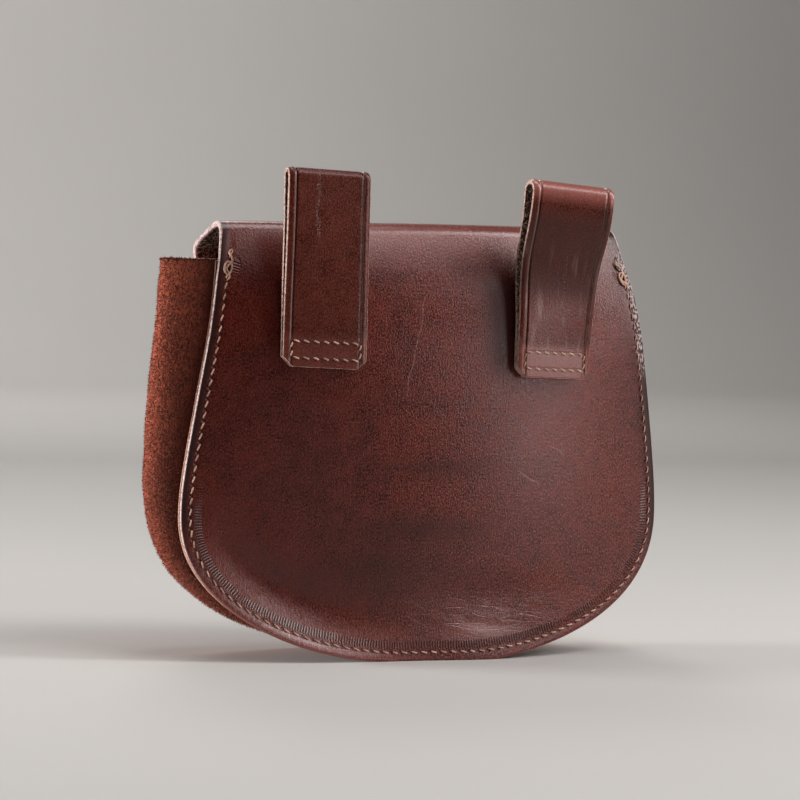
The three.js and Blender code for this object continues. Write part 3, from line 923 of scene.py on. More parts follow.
@dataclass(frozen=True)
class FloorFinish:
    """Pale studio floor, dark towards the camera."""

    pale: Colour = (0.66, 0.63, 0.60, 1.0)
    shade: Colour = (0.62, 0.59, 0.56, 1.0)
    dark: Colour = (0.085, 0.050, 0.035, 1.0)
    roughness: float = 0.7
    fine_height: float = 2.0e-5

    def material(self, name: str) -> bpy.types.Material:
        """Almost even matt surface, dark in front of the pouch so that the leather mirrors little of it."""
        graph = Graph(name)
        place = graph.inside()
        clouds = graph.noise(place, 3.0, 3.0)
        fine = graph.noise(place, 600.0, 2.0)
        _, toward, _ = graph.axes(place)
        even = graph.mix(self.pale, self.shade, clouds)
        colour = graph.mix(even, self.dark, toward.step(-0.32, -0.62))
        return graph.finish(colour, self.roughness, fine * self.fine_height, {})

@dataclass(frozen=True)
class Pattern:
    """Cut and standing shape of the pouch, shared by all its pieces. Millimetres."""

    back_leather: float = 2.4
    front_leather: float = 2.0
    clearance: float = 0.3
    flap_clearance: float = 0.7
    back_half: float = 100.0
    back_roundness: float = 2.2
    front_half: float = 93.0
    front_roundness: float = 2.0
    widest: float = 55.0
    pressed_flat: float = 0.6
    taper: float = 0.163
    shoulder: float = 15.0
    bow: float = 12.0
    bow_reach: float = 100.0
    lean: float = 14.0
    lean_start: float = 115.0
    lean_rise: float = 49.0
    pocket_top: float = 150.0
    depth_bottom: float = 44.0
    depth_mouth: float = 24.0
    crown: float = 9.0
    crown_span: float = 170.0
    ridge_corner: float = 169.1
    ridge_tilt: float = 0.014
    ridge_lift: float = 1.7
    ridge_radius: float = 7.0
    front_corner: float = 154.4
    front_radius: float = 6.0
    fold_end: float = 135.0
    flap_half: float = 86.0
    flap_roundness: float = 2.3
    flap_widest: float = 106.0
    flap_tip: float = 42.0
    flap_tip_flat: float = 0.8

    def place(self) -> Array:
        """Frame position of the pattern's origin: under the middle of the back panel's outer face."""
        low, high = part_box("back_and_flap")
        return np.array([(low.x + high.x) / 2.0, low.y, 0.0]) / MM

    @staticmethod
    def rounded(half: float, roundness: float, drop: Array, reach: float) -> Array:
        """Half width of a superellipse at a drop below its widest height."""
        return half * np.maximum(0.0, 1.0 - (drop / reach) ** roundness) ** (1.0 / roundness)

    def half_width(self, half: float, roundness: float, z: Array) -> Array:
        """Half width of a panel: a superellipse below its widest height, a hyperbolic taper above it.

        Args:
            half: Largest half width.
            roundness: Power of the superellipse.
            z: Heights.

        Returns:
            Half width at each height.
        """
        drop = np.maximum(0.0, self.widest - z)
        low = self.rounded(half, roundness, drop, self.widest + self.pressed_flat)
        rise = np.maximum(0.0, z - self.widest)
        high = half - self.taper * (np.hypot(rise, self.shoulder) - self.shoulder)
        return np.where(z < self.widest, low, high)

    def back_width(self, z: Array) -> Array:
        """Half width of the back panel."""
        return self.half_width(self.back_half, self.back_roundness, z)

    def front_width(self, z: Array) -> Array:
        """Half width of the front panel."""
        return self.half_width(self.front_half, self.front_roundness, z)

    def flap_width(self, z: Array) -> Array:
        """Half width of the flap on the front."""
        drop = np.maximum(0.0, self.flap_widest - z)
        reach = self.flap_widest - self.flap_tip + self.flap_tip_flat
        return self.rounded(self.flap_half, self.flap_roundness, drop, reach)

    def back_face(self, x: Array, z: Array) -> Array:
        """Outer face of the back: a parabola across plus a parabola that leans forward above one height."""
        leaning = np.maximum(0.0, z - self.lean_start) / self.lean_rise
        return self.bow * (x / self.bow_reach) ** 2 + self.lean * leaning ** 2

    def front_face(self, x: Array, z: Array) -> Array:
        """Outer face of the front: the back's seam moved by the depth, with a swell between its edges."""
        depth = blend(self.depth_bottom, self.depth_mouth, z / self.pocket_top)
        rim = self.back_face(self.back_width(z), z) + depth
        swell = self.crown * np.sin(np.pi * z / self.crown_span)
        return rim + swell * (1.0 - (x / self.front_width(z)) ** 2)

    def flap_face(self, x: Array, z: Array) -> Array:
        """Outer face of the flap, lying on the front."""
        return self.front_face(x, np.minimum(z, self.pocket_top)) + self.flap_clearance + self.back_leather

    def heights(self, low: int, high: int, top: float) -> Array:
        """Heights of low rows up to the widest height, as one minus a cosine, and of high even rows above."""
        bottom = self.widest * (1.0 - np.cos(np.linspace(0.0, QUARTER_TURN, low)))
        return np.concatenate([bottom, np.linspace(self.widest, top, high + 1)[1:]])

    @staticmethod
    def standing(half: Array, heights: Array, across: Array, face: Face) -> Array:
        """Grid (rows, columns, 3) on a face, from half widths and heights of rows and shares across."""
        x, z = np.broadcast_arrays(half[:, None] * across, heights[:, None])
        return np.stack([x, face(x, z), z], axis=-1)

    @staticmethod
    def bend(before: Array, corner: Array, after: Array, radius: float, turns: Array) -> Array:
        """Round bend that replaces a corner in the upright plane.

        The arc starts on the arriving side at radius times the tangent of half the turn before the corner, and
        runs round by shares of the turn.

        Args:
            before: Points before the corner, (columns, 2) as y and z.
            corner: The corners.
            after: Points after them.
            radius: Radius of the bend.
            turns: Shares of the turn, (rows,).

        Returns:
            Points of shape (rows, columns, 2).
        """
        arriving = unit(corner - before)
        leaving = unit(after - corner)
        turn = np.arccos(np.clip((arriving * leaving).sum(-1), -1.0, 1.0))
        start = corner - arriving * (radius * np.tan(turn / 2.0))[:, None]
        inward = np.stack([arriving[:, 1], -arriving[:, 0]], axis=1)
        angle = turns[:, None] * turn[None]
        return (start + arriving * (radius * np.sin(angle))[..., None]
                + inward * (radius * (1.0 - np.cos(angle)))[..., None])

    def fold(self, x: Array, arc: int, flat: int) -> Array:
        """Points over the top of the pouch: up the leaning back, round the ridge and round the front bend.

        Args:
            x: Places across, (rows, columns), rows counting 2 * arc + flat.
            arc: Rows in each bend.
            flat: Rows between the bends.

        Returns:
            Array (rows, columns, 3).
        """
        rows = 2 * arc + flat
        slope = 2.0 * self.lean * (self.pocket_top - self.lean_start) / self.lean_rise ** 2
        turns = np.linspace(0.0, 1.0, arc)

        def upright(y: Array, z: float) -> Array:
            """Points of one row in the upright plane, all at one height."""
            return np.stack([y, np.full_like(y, z)], axis=1)

        def path(row_x: Array) -> Array:
            """The way over the top at one row's places across, (rows, columns, 2) as y and z."""
            top, low = np.full_like(row_x, self.pocket_top), np.full_like(row_x, self.fold_end)
            back = upright(self.back_face(row_x, top), self.pocket_top)
            height = self.ridge_corner + self.ridge_tilt * row_x
            height = height + self.ridge_lift * (row_x / self.flap_half) ** 4
            ridge = np.stack([back[:, 0] + slope * (height - self.pocket_top), height], axis=1)
            front = upright(self.flap_face(row_x, top), self.front_corner)
            end = upright(self.flap_face(row_x, low), self.fold_end)
            over_ridge = self.bend(back, ridge, front, self.ridge_radius, turns)
            over_front = self.bend(ridge, front, end, self.front_radius, turns)
            between = np.linspace(0.0, 1.0, flat + 2)[1:-1, None, None]
            middle = blend(over_ridge[-1], over_front[0], between)
            return np.concatenate([over_ridge, middle, over_front])

        ways = np.stack([path(x[row])[row] for row in range(rows)])
        return np.concatenate([x[..., None], ways], axis=-1)


def panel_columns(edge: Sequence[float], margin: float, dense: int, middle: int) -> Array:
    """Places across a panel from -1 to 1, close together near both edges.

    Args:
        edge: Shares of the half width, from each edge, of its round columns; the last starts the margin.
        margin: Share of the half width that is dense.
        dense: Columns in each margin.
        middle: Columns between the margins.

    Returns:
        Sorted places.
    """
    inner = 1.0 - margin
    rounded = np.array(edge[:-1]) - 1.0
    left = np.concatenate([rounded, np.linspace(edge[-1] - 1.0, -inner, dense, endpoint=False)])
    centre = np.linspace(-inner, inner, middle)
    return np.concatenate([left, centre, -left[::-1]])


def strand(path: Array, normals: Array, thread: float, sides: int) -> Piece:
    """Thread laid along a path: a ring of points round each point of the path, thinner at both ends.

    Args:
        path: Middle line, (rings, 3).
        normals: A direction square to the thread at each point.
        thread: Its diameter.
        sides: Points in a ring.

    Returns:
        Mesh with the map "thread" of run and turn.
    """
    tangent = unit(np.gradient(path, axis=0))
    right = unit(np.cross(tangent, normals))
    over = np.cross(right, tangent)
    angle = np.linspace(0.0, FULL_TURN, sides, endpoint=False)[:, None]
    part = np.linspace(0.0, 1.0, len(path))
    fullness = 0.45 + 0.55 * smooth(np.minimum(part, 1.0 - part), 0.0, 0.12)
    girth = (thread / 2.0 * fullness)[:, None, None]
    points = path[:, None] + (right[:, None] * np.cos(angle) + over[:, None] * np.sin(angle)) * girth
    shape = (len(path), sides)
    run = np.broadcast_to(run_along(path)[:, None], shape)
    turn = np.broadcast_to(angle[:, 0] / FULL_TURN, shape)
    maps = {"thread": np.stack([run.ravel(), turn.ravel()], axis=1)}
    return Piece(points.reshape(-1, 3), capped_tube(*shape)[:, ::-1], maps)


@dataclass
class StitchRow:
    """One row of machine stitches: a strand that rises between the needle holes and dips into them."""

    pitch: float = STITCH_PITCH
    thread: float = 0.64
    flatness: float = 0.86
    rise: float = 0.22
    sink: float = 0.85
    slant: float = -0.36
    sides: int = 6
    rings: int = 13

    def build(self, holes: Array, normals: Array) -> Piece:
        """Stitches between neighbouring holes.

        Along a stitch the strand's middle line goes from hole to hole, moved sideways from plus to minus the
        slant. It starts and ends sunk under the leather and rises in a smooth step to its flat middle. Its
        section is an ellipse, thinner at both ends and most so at the last.

        Args:
            holes: Hole positions in order, (count, 3).
            normals: Outward normals at the holes.

        Returns:
            Mesh of all the stitches.
        """
        first, last = holes[:-1], holes[1:]
        way = unit(last - first)
        up = unit(normals[:-1] + normals[1:])
        side = unit(np.cross(way, up))
        up = np.cross(side, way)
        part = np.linspace(0.02, 0.98, self.rings)
        nearest = smooth(np.minimum(part, 1.0 - part), 0.06, 0.33)
        lift = blend(-self.sink, self.rise, nearest)
        sway = np.cos(np.pi * part) * self.slant
        girth = (0.62 + 0.38 * nearest) * (1.0 - 0.28 * smooth(part, 0.5, 1.0))
        line = (first[:, None] + (last - first)[:, None] * part[:, None]
                + side[:, None] * sway[:, None] + up[:, None] * lift[:, None])
        tangent = unit(np.gradient(line, axis=1))
        right = unit(np.cross(tangent, up[:, None]))
        over = np.cross(right, tangent)
        angle = np.linspace(0.0, FULL_TURN, self.sides, endpoint=False)
        wide = (self.thread / 2.0) * girth[:, None, None]
        ring = (right[:, :, None] * (np.cos(angle)[:, None] * wide)[None]
                + over[:, :, None] * (np.sin(angle)[:, None] * wide * self.flatness)[None])
        points = line[:, :, None] + ring
        count = len(first)
        quads = capped_tube(self.rings, self.sides)[:, ::-1]
        block = self.rings * self.sides
        faces = (quads[None] + (np.arange(count) * block)[:, None, None]).reshape(-1, 4)
        runs = (np.arange(count)[:, None] + part[None]) * self.pitch
        run = np.broadcast_to(runs[:, :, None], (count, self.rings, self.sides))
        turn = np.broadcast_to(angle / FULL_TURN, run.shape)
        maps = {"thread": np.stack([run.ravel(), turn.ravel()], axis=1)}
        return Piece(points.reshape(-1, 3), faces, maps)


def joined(pieces: Sequence[Piece]) -> Piece:
    """One piece of several with the same maps."""
    starts = np.cumsum([0] + [len(piece.points) for piece in pieces[:-1]])
    faces = np.concatenate([piece.faces + start for piece, start in zip(pieces, starts)])
    maps = {title: np.concatenate([piece.maps[title] for piece in pieces]) for title in pieces[0].maps}
    return Piece(np.concatenate([piece.points for piece in pieces]), faces, maps)


@dataclass
class BackAndFlap:
    """Back panel, fold and flap in one sheet of leather, with the relief that sewing and use gave it."""

    pattern: Pattern
    low_rows: int = 66
    high_rows: int = 84
    arc_rows: int = 14
    flat_rows: int = 14
    flap_rows: int = 56
    seam_inset: float = SEAM_INSET
    seam_top: float = 155.0
    seam_pull: float = 0.26
    edge_swell: float = 0.95
    edge_trim: float = 0.75
    edge_round: float = 0.35
    edge_reach: float = 0.4
    ridge_draw: float = 1.2
    waist: float = 3.6
    corner_width: float = 1.4
    flare_left: float = 5.2
    flare_right: float = 3.0
    flare_reach: float = 15.0
    flare_dip: float = 2.0
    ripple_height: float = 0.11
    far_inset: float = 60.0
    swells: tuple[Patch, ...] = (
        Patch(1.8, 34.0, 40.0, 66.0, 40.0),
        Patch(-0.9, -38.0, 30.0, 60.0, 40.0),
        Patch(-1.3, 24.0, 26.0, 23.0, 7.5),
        Patch(-0.5, 0.0, 70.0, 125.0, 16.0),
    )
    creases: tuple[Patch, ...] = (
        Patch(1.0, 24.0, 28.0, 17.0, 8.0),
        Patch(0.3, -70.0, 14.0, 18.0, 12.0),
    )
    # Darker patches: darker on the left, painted shade low down left of the middle where the surface faces
    # down, and two darker bands across the middle.
    dark_patches_and_painted_shade: tuple[Patch, ...] = (
        Patch(0.35, -62.0, 40.0, 70.0, 60.0),
        Patch(0.5, -20.0, 40.0, 34.0, 16.0),
        Patch(0.45, -1.0, 24.0, 74.0, 3.5),
        Patch(0.45, -4.0, 26.0, 51.0, 5.0),
    )
    # Glossy spots, painted paler as highlights too.
    shines: tuple[Patch, ...] = (
        Patch(0.9, 18.0, 13.0, 12.0, 4.2),
        Patch(0.15, 48.0, 30.0, 70.0, 30.0),
    )

    def columns(self) -> Array:
        """Places across the sheet."""
        return panel_columns((0.0, 0.0014, 0.0032, 0.006, 0.010), 0.17, 23, 74)

    def pinch(self, run: Array) -> Array:
        """Trim of the half width by the run up the sheet: for the round edge, and more over the ridge."""
        waist = self.waist * bell(run, 170.0, 15.0)
        return self.edge_trim + waist - self.corner_width * bell(run, 200.0, 11.0)

    def relief(self, x: Array, z: Array, inset: Array) -> Array:
        """How far the back's face stands out of its plain shape, towards the belt side.

        Soft swells where the contents push, a groove pulled in by the seam, a lower edge that flares out beyond
        the seam, and small ripples where the leather is creased. All are products of bell curves across and up,
        or falls with the inset from the edge, and the ripples a sine.

        Args:
            x: Places across.
            z: Heights.
            inset: Distances from the panel's edge.

        Returns:
            Millimetres towards -Y.
        """
        swell = patched(self.swells, x, z) * smooth(inset, 6.0, 30.0)
        rounding = self.edge_round * np.exp(-inset / self.edge_reach)
        groove = -self.seam_pull * bell(inset, self.seam_inset, 1.3) - rounding
        low = 1.0 - smooth(z, 28.0, 66.0)
        reach = np.clip(1.0 - inset / self.flare_reach, 0.0, 1.0) ** 2
        flare = bell(x, -56.0, 38.0) * self.flare_left + bell(x, 26.0, 24.0) * self.flare_right
        dip = self.flare_dip * low * bell(x, -64.0, 36.0) * bell(inset, 17.0, 7.0)
        waves = self.ripple_height * np.sin(0.9 * z + 0.18 * x + 2.0 * np.sin(0.09 * x))
        ripple = waves * bell(x, 24.0, 26.0) * bell(z, 16.0, 6.5) * smooth(inset, 6.0, 9.0)
        return swell + groove * (1.0 - smooth(z, 150.0, 158.0)) + (low * flare * reach - dip) + ripple

    def grids(self) -> dict[str, Array]:
        """Outer face of the whole sheet with its flat coordinates, inset and seam run.

        Returns:
            Arrays by name: "outer" (rows, columns, 3), "flat" (rows, columns, 2), "inset", "run", "sewn".
        """
        pattern = self.pattern
        across = self.columns()
        heights = pattern.heights(self.low_rows, self.high_rows, pattern.pocket_top)
        back = pattern.standing(pattern.back_width(heights), heights, across, pattern.back_face)
        share = smooth(np.linspace(0.0, 1.0, 2 * self.arc_rows + self.flat_rows), 0.0, 1.0)
        top_width = pattern.back_width(np.array(pattern.pocket_top))
        fold_half = blend(top_width, pattern.flap_width(np.array(pattern.fold_end)), share)
        fold = pattern.fold(fold_half[:, None] * across, self.arc_rows, self.flat_rows)
        part = np.linspace(0.0, QUARTER_TURN, self.flap_rows)
        flap_z = blend(pattern.flap_tip, pattern.fold_end, 1.0 - np.sin(part))
        flap = pattern.standing(pattern.flap_width(flap_z), flap_z, across, pattern.flap_face)
        plain = np.concatenate([back, fold, flap])
        run_up = run_along(plain[:, len(across) // 2])
        plain[..., 0] -= across * self.pinch(run_up)[:, None]
        up = np.broadcast_to(run_up[:, None], plain.shape[:2])
        flat = np.stack([plain[..., 0], up], axis=-1)
        back_rows = len(heights)
        seam_rows = back_rows + self.arc_rows // 2
        inset, run = self.insets(plain[:seam_rows, :, ::2], len(plain))
        outer = plain.copy()
        upright = plain[:back_rows]
        outer[:back_rows, :, 1] -= self.relief(upright[..., 0], upright[..., 2], inset[:back_rows])
        outer[..., 1] += self.ridge_draw * smooth(up, 146.0, 168.0) * (1.0 - smooth(up, 172.0, 200.0))
        ribbed = 1.0 - smooth(up, 40.0, 80.0) * (1.0 - 0.4 * bell(up, 150.0, 6.0))
        sewn = (1.0 - smooth(up, 154.0, 157.0)) * blend(SEWN_ONLY, 1.0, ribbed)
        sewn[seam_rows:] = 0.0
        return {"outer": outer, "flat": flat, "inset": inset, "run": run, "sewn": sewn}

    def insets(self, upright: Array, rows: int) -> tuple[Array, Array]:
        """Distance of each point from the back panel's outline, and its run along the seam from hole to hole.

        Args:
            upright: Places across and heights of the back's rows, (back rows, columns, 2).
            rows: Rows of the whole sheet.

        Returns:
            Insets and runs, shape of the whole grid.
        """
        outline = np.concatenate([upright[:0:-1, 0], upright[0], upright[1:, -1]])
        spots = self.seam_spots()
        spacing = np.linalg.norm(spots[1] - spots[0])
        points, shape = upright.reshape(-1, 2), upright.shape[:2]
        inset = np.full((rows, shape[1]), self.far_inset)
        run = np.zeros_like(inset)
        inset[:shape[0]] = nearest_on_line(points, outline)[0].reshape(shape)
        run[:shape[0]] = nearest_on_line(points, spots)[1].reshape(shape) * STITCH_PITCH / spacing
        return inset, run

    def marks(self, grids: dict[str, Array]) -> Array:
        """Attribute "marks": creased zone, painted shade and darker patches, sewn zone, and gloss with painted
        sheen as red, green, blue and alpha.

        Green is painted shade along the rounded edge above the bottom, more on the right, a painted shadow
        beside the right loop, and patches: darker on the left and in two bands across the middle, and painted
        shade low down left of the middle where the surface faces down.
        Alpha makes the ridge, the lower left corner along its edge and a few shines glossy, and the finishes
        also paint them paler as painted highlights.

        Args:
            grids: Arrays of the sheet.

        Returns:
            Colours of the grid's points, (count, 4).
        """
        x, z = grids["flat"][..., 0], grids["flat"][..., 1]
        inset = grids["inset"]
        raised = smooth(z, 30.0, 60.0)
        # Painted shade along the rounded edge above the bottom, and more on the right side.
        dark = (1.0 - smooth(inset, 0.8, 2.8)) * raised * 0.9
        dark = dark + (1.0 - smooth(inset, 2.0, 9.0)) * smooth(x, 55.0, 80.0) * raised * 0.4
        dark = dark + (1.0 - smooth(inset, 4.0, 26.0)) * smooth(x, 50.0, 75.0) * raised * 0.25
        # Painted shadow of the right loop on the panel beside it.
        dark = dark + 0.9 * bell(x, 25.5, 9.0) * smooth(z, 104.0, 116.0) * (1.0 - smooth(z, 140.0, 158.0))
        dark = dark + patched(self.dark_patches_and_painted_shade, x, z)
        ridge = smooth(z, 150.0, 163.0) * (1.0 - smooth(z, 170.0, 180.0))
        ridge = ridge * blend(0.7, 1.0, smooth(x, -75.0, -20.0)) * (1.0 - 0.7 * smooth(x, 50.0, 64.0))
        corner = (1.0 - smooth(inset, 6.0, 17.0)) * bell(x, -62.0, 34.0) * (1.0 - raised)
        gloss_and_painted_sheen = ridge + corner + patched(self.shines, x, z)
        colours = np.stack([patched(self.creases, x, z), dark, grids["sewn"], gloss_and_painted_sheen], axis=-1)
        return np.clip(colours.reshape(-1, 4), 0.0, 1.0)

    def build(self, finish: PanelFinish) -> None:
        """Makes the sheet and its finish.

        Args:
            finish: Leather of the panel.
        """
        grids = self.grids()
        outer = grids["outer"]
        inner = outer - grid_normals(outer) * self.pattern.back_leather
        points, faces, skins, source = closed_sheet(outer, inner, self.edge_swell)
        flat = grids["flat"].reshape(-1, 2)[source]
        seam = np.stack([grids["run"].ravel(), grids["inset"].ravel()], axis=1)[source]
        piece = Piece(points, faces, {"flat": flat, "seam": seam}, {"skin": skins})
        marks = self.marks(grids)[source]
        material = finish.material("panel_leather")
        item = piece.to_object("leather_back_and_flap", self.pattern.place(), material)
        attribute = item.data.attributes.new("marks", "FLOAT_COLOR", "POINT")
        attribute.data.foreach_set("color", marks.astype(np.float32).ravel())
        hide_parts("back_and_flap")
        Cut(outer).declare(item)

    def seam_spots(self) -> Array:
        """Needle holes of the seam, as places across and heights: the outline moved in, at the stitch pitch."""
        z = self.pattern.heights(300, 299, self.seam_top + 8.0)
        right = np.stack([self.pattern.back_width(z) - self.pinch(z + 1.0), z], axis=1)
        return resample(moved_in(right, self.seam_inset, self.seam_top), STITCH_PITCH)

    def seam_line(self) -> tuple[Array, Array]:
        """Needle holes of the seam on the back's outer face, and outward normals, each (count, 3)."""
        x, z = self.seam_spots().T
        face = self.pattern.back_face
        slope_x, slope_z = slopes(face, x, z)
        normals = unit(np.stack([slope_x, -np.ones_like(x), slope_z], axis=1))
        y = face(x, z) - self.relief(x, z, np.full(len(x), self.seam_inset))
        return np.stack([x, y, z], axis=1), normals


@dataclass
class FrontPanel:
    """Front wall of the pocket."""

    pattern: Pattern
    low_rows: int = 44
    high_rows: int = 50
    seam_inset: float = 5.0
    seam_end: float = 3.0
    edge_swell: float = 0.25
    map_offset: float = 400.0

    def build(self, finish: LeatherFinish) -> None:
        """Makes the front's sheet, from its top edge down to the ground.

        Args:
            finish: Leather of the front.
        """
        pattern = self.pattern
        across = panel_columns((0.0, 0.004, 0.010), 0.15, 14, 46)
        z = pattern.heights(self.low_rows, self.high_rows, pattern.pocket_top)[::-1]
        outer = pattern.standing(pattern.front_width(z), z, across, pattern.front_face)
        inner = outer - grid_normals(outer) * pattern.front_leather
        points, faces, skins, source = closed_sheet(outer, inner, self.edge_swell)
        flat = (outer[..., [0, 2]].reshape(-1, 2) + np.array([self.map_offset, 0.0]))[source]
        piece = Piece(points, faces, {"flat": flat}, {"skin": skins})
        item = piece.to_object("leather_front", pattern.place(), finish.material("front_leather"))
        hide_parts("front_panel")
        Cut(outer).declare(item)

    def seam_line(self) -> tuple[Array, Array]:
        """Needle holes of the front seam, and outward normals, each (count, 3)."""
        pattern = self.pattern
        heights = pattern.heights(300, 299, pattern.pocket_top)
        right = np.stack([pattern.front_width(heights), heights], axis=1)
        line = moved_in(right, self.seam_inset, pattern.pocket_top - self.seam_end)
        x, z = resample(line, STITCH_PITCH).T
        slope_x, slope_z = slopes(pattern.front_face, x, z)
        normals = unit(np.stack([-slope_x, np.ones_like(x), -slope_z], axis=1))
        return np.stack([x, pattern.front_face(x, z), z], axis=1), normals


@dataclass
class Gusset:
    """Suede strip round the sides and bottom, its flanges turned out along both seams, with its nap."""

    pattern: Pattern
    back: BackAndFlap
    suede: float = 1.4
    flange: float = 6.0
    setback: float = 0.8
    flange_bend: float = 1.6
    bulge_bottom: float = -3.0
    bulge_left: float = 20.0
    bulge_right: float = -22.0
    swell: float = 1.65
    inward_start: float = 40.0
    wall_start: float = 3.4
    side_rows: int = 96
    low_rows: int = 70
    bottom_rows: int = 20
    flange_steps: int = 8
    bend_steps: int = 5
    wall_steps: int = 40
    slope_step: float = 0.5
    run_column: int = 20
    edge_swell: float = 0.45
    ground: float = 0.2
    unevenness: float = 0.14
    fibres: int = 150000
    fringe: float = 0.012
    fibre_ground: float = 0.1
    seed: int = 7

    def stations(self) -> tuple[Array, Array, Array]:
        """Edges of both panels along the strip and the direction square to the back's edge.

        The run goes down the left side, over the flat bottom and up the right side. The square direction is the
        gradient of the superellipse below the widest height and level above it.

        Returns:
            Back edge, front edge and square direction, each (stations, 2) as x and z.
        """
        pattern = self.pattern
        z = pattern.heights(self.low_rows, self.side_rows, pattern.pocket_top)[::-1]
        back_x, front_x = pattern.back_width(z), pattern.front_width(z)
        reach = pattern.widest + pattern.pressed_flat
        power = pattern.back_roundness - 1.0
        drop = np.maximum(0.0, pattern.widest - z) / reach
        level = (back_x / pattern.back_half) ** power / pattern.back_half
        square = unit(np.stack([level, -drop ** power / reach], axis=1))
        mirror = np.array([-1.0, 1.0])
        part = np.linspace(0.0, 1.0, self.bottom_rows + 2)[1:-1, None]

        def both(side: Array) -> Array:
            """The left side, the bottom and the right side of a line that is given for the right one."""
            left, right = side * mirror, side[::-1]
            return np.concatenate([left, blend(left[-1], right[0], part), right])

        back = both(np.stack([back_x, z], axis=1))
        front = both(np.stack([front_x, z], axis=1))
        return back, front, unit(both(square))

    def bulge(self, back: Array) -> Array:
        """How far the wall stands out past the panel's edge at each station."""
        z, top = back[:, 1], self.pattern.pocket_top
        left = blend(self.bulge_left, self.bulge_bottom, (1.0 - z / top) ** self.swell)
        right = blend(self.bulge_bottom, self.bulge_right, smooth(z, self.inward_start, top))
        return np.where(back[:, 0] < 0.0, left, right)

    def face_slope(self, face: Face, x: Array, z: Array) -> Array:
        """How much longer a wall of a face is along Y than square to it."""
        slope_x, slope_z = slopes(face, x, z, self.slope_step)
        return np.sqrt(1.0 + slope_x ** 2 + slope_z ** 2)

    def inner_grid(self) -> Array:
        """Inner side of the strip: back flange, bulging wall, front flange at every station.

        The flanges lie on the panels' inner faces. The wall runs between them as half an ellipse: out along the
        square direction by the sine, across by the cosine of one angle.

        Returns:
            Array (stations, points, 3).
        """
        pattern = self.pattern
        back, front, square = self.stations()
        bend = np.linspace(0.0, QUARTER_TURN, self.bend_steps + 1)[1:]
        straight = np.linspace(-self.setback, self.flange_bend - self.flange, self.flange_steps)
        out = np.concatenate([straight, straight[-1] - self.flange_bend * np.sin(bend)])
        rise = np.concatenate([np.zeros(self.flange_steps), self.flange_bend * (1.0 - np.cos(bend))])
        back_spot = back[:, None] + square[:, None] * out[:, None]
        front_spot = front[:, None] + square[:, None] * out[:, None]
        x, z = back_spot[..., 0], back_spot[..., 1]
        wall_y = pattern.back_face(x, z) + pattern.back_leather * self.face_slope(pattern.back_face, x, z)
        follow = self.back.relief(x, z, np.broadcast_to(-out, x.shape))
        back_side = np.stack([x, wall_y + pattern.clearance + rise - follow, z], axis=-1)
        x, z = front_spot[..., 0], front_spot[..., 1]
        wall_y = pattern.front_face(x, z) - pattern.front_leather * self.face_slope(pattern.front_face, x, z)
        front_side = np.stack([x, wall_y - pattern.clearance - rise, z], axis=-1)[:, ::-1]
        angle = np.linspace(0.0, np.pi, self.wall_steps)
        shift = self.wall_start - self.flange_bend
        start = back_side[:, -1, 1] + shift
        end = front_side[:, 0, 1] - shift
        across = (1.0 - np.cos(angle)) / 2.0
        reach = -self.flange + (self.bulge(back)[:, None] + self.flange) * np.sin(angle)
        spot = blend(back[:, None], front[:, None], across[:, None]) + square[:, None] * reach[..., None]
        y = blend(start[:, None], end[:, None], across)
        wall = np.stack([spot[..., 0], y, spot[..., 1]], axis=-1)
        return np.concatenate([back_side, wall, front_side], axis=1)

    def build(self, finish: SuedeFinish, nap: FibreFinish) -> None:
        """Makes the strip and its nap.

        Args:
            finish: Suede of the strip.
            nap: Finish of the loose fibres.
        """
        inner = self.inner_grid()
        normals = grid_normals(inner)
        soft = self.uneven(inner)
        outer = inner + normals * (self.suede + soft[..., None])
        points, faces, skins, source = closed_sheet(outer, inner, self.edge_swell, self.ground)
        run = run_along(inner[:, self.run_column])
        width = np.cumsum(np.linalg.norm(np.diff(inner, axis=1, prepend=inner[:, :1]), axis=2), axis=1)
        flat = np.stack([width, np.broadcast_to(run[:, None], width.shape)], axis=-1).reshape(-1, 2)
        place = self.pattern.place()
        piece = Piece(points, faces, {"flat": flat[source]}, {"skin": skins})
        strip = piece.to_object("suede_gusset", place, finish.material("suede"))
        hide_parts("gusset")
        fuzz = self.nap(outer, normals).to_object("suede_nap", place, nap.material("suede_fibres"))
        Cut(inner).declare(strip)

    def uneven(self, inner: Array) -> Array:
        """Slight unevenness of the soft suede: a few crossed sine waves, none at the seams."""
        x, y, z = np.moveaxis(inner, -1, 0)
        waves = np.sin(0.21 * z + 0.6) * np.sin(0.17 * y + 0.05 * z)
        waves = waves + 0.6 * np.sin(0.37 * z + 0.23 * y + 0.05 * x)
        steps = np.linspace(0.0, 1.0, inner.shape[1])
        return self.unevenness * waves * np.sin(np.pi * steps) ** 2

    def nap(self, outer: Array, normals: Array) -> Piece:
        """Loose fibres standing in the nap.

        Each fibre is one slim triangle. Its root lies at a random place of the strip's outer grid, and its tip
        leans from the normal mostly down the strip by a random amount. A small share, the fringe, stands up
        along the strip's open end on the left.

        Args:
            outer: Outer grid of the strip.
            normals: Its normals.

        Returns:
            Mesh of the fibres with their tones.
        """
        random = np.random.default_rng(self.seed)
        rows, columns = outer.shape[:2]
        u = random.uniform(0.0, rows - 1.001, self.fibres)
        v = random.uniform(0.0, columns - 1.001, self.fibres)
        fringe = random.uniform(0.0, 1.0, self.fibres) < self.fringe
        u = np.where(fringe, u % 0.5, u)
        i, j = u.astype(int), v.astype(int)
        a, b = (u - i)[:, None], (v - j)[:, None]

        def between(grid: Array) -> Array:
            """Grid values at the fibres' roots."""
            low = blend(grid[i, j], grid[i + 1, j], a)
            high = blend(grid[i, j + 1], grid[i + 1, j + 1], a)
            return blend(low, high, b)

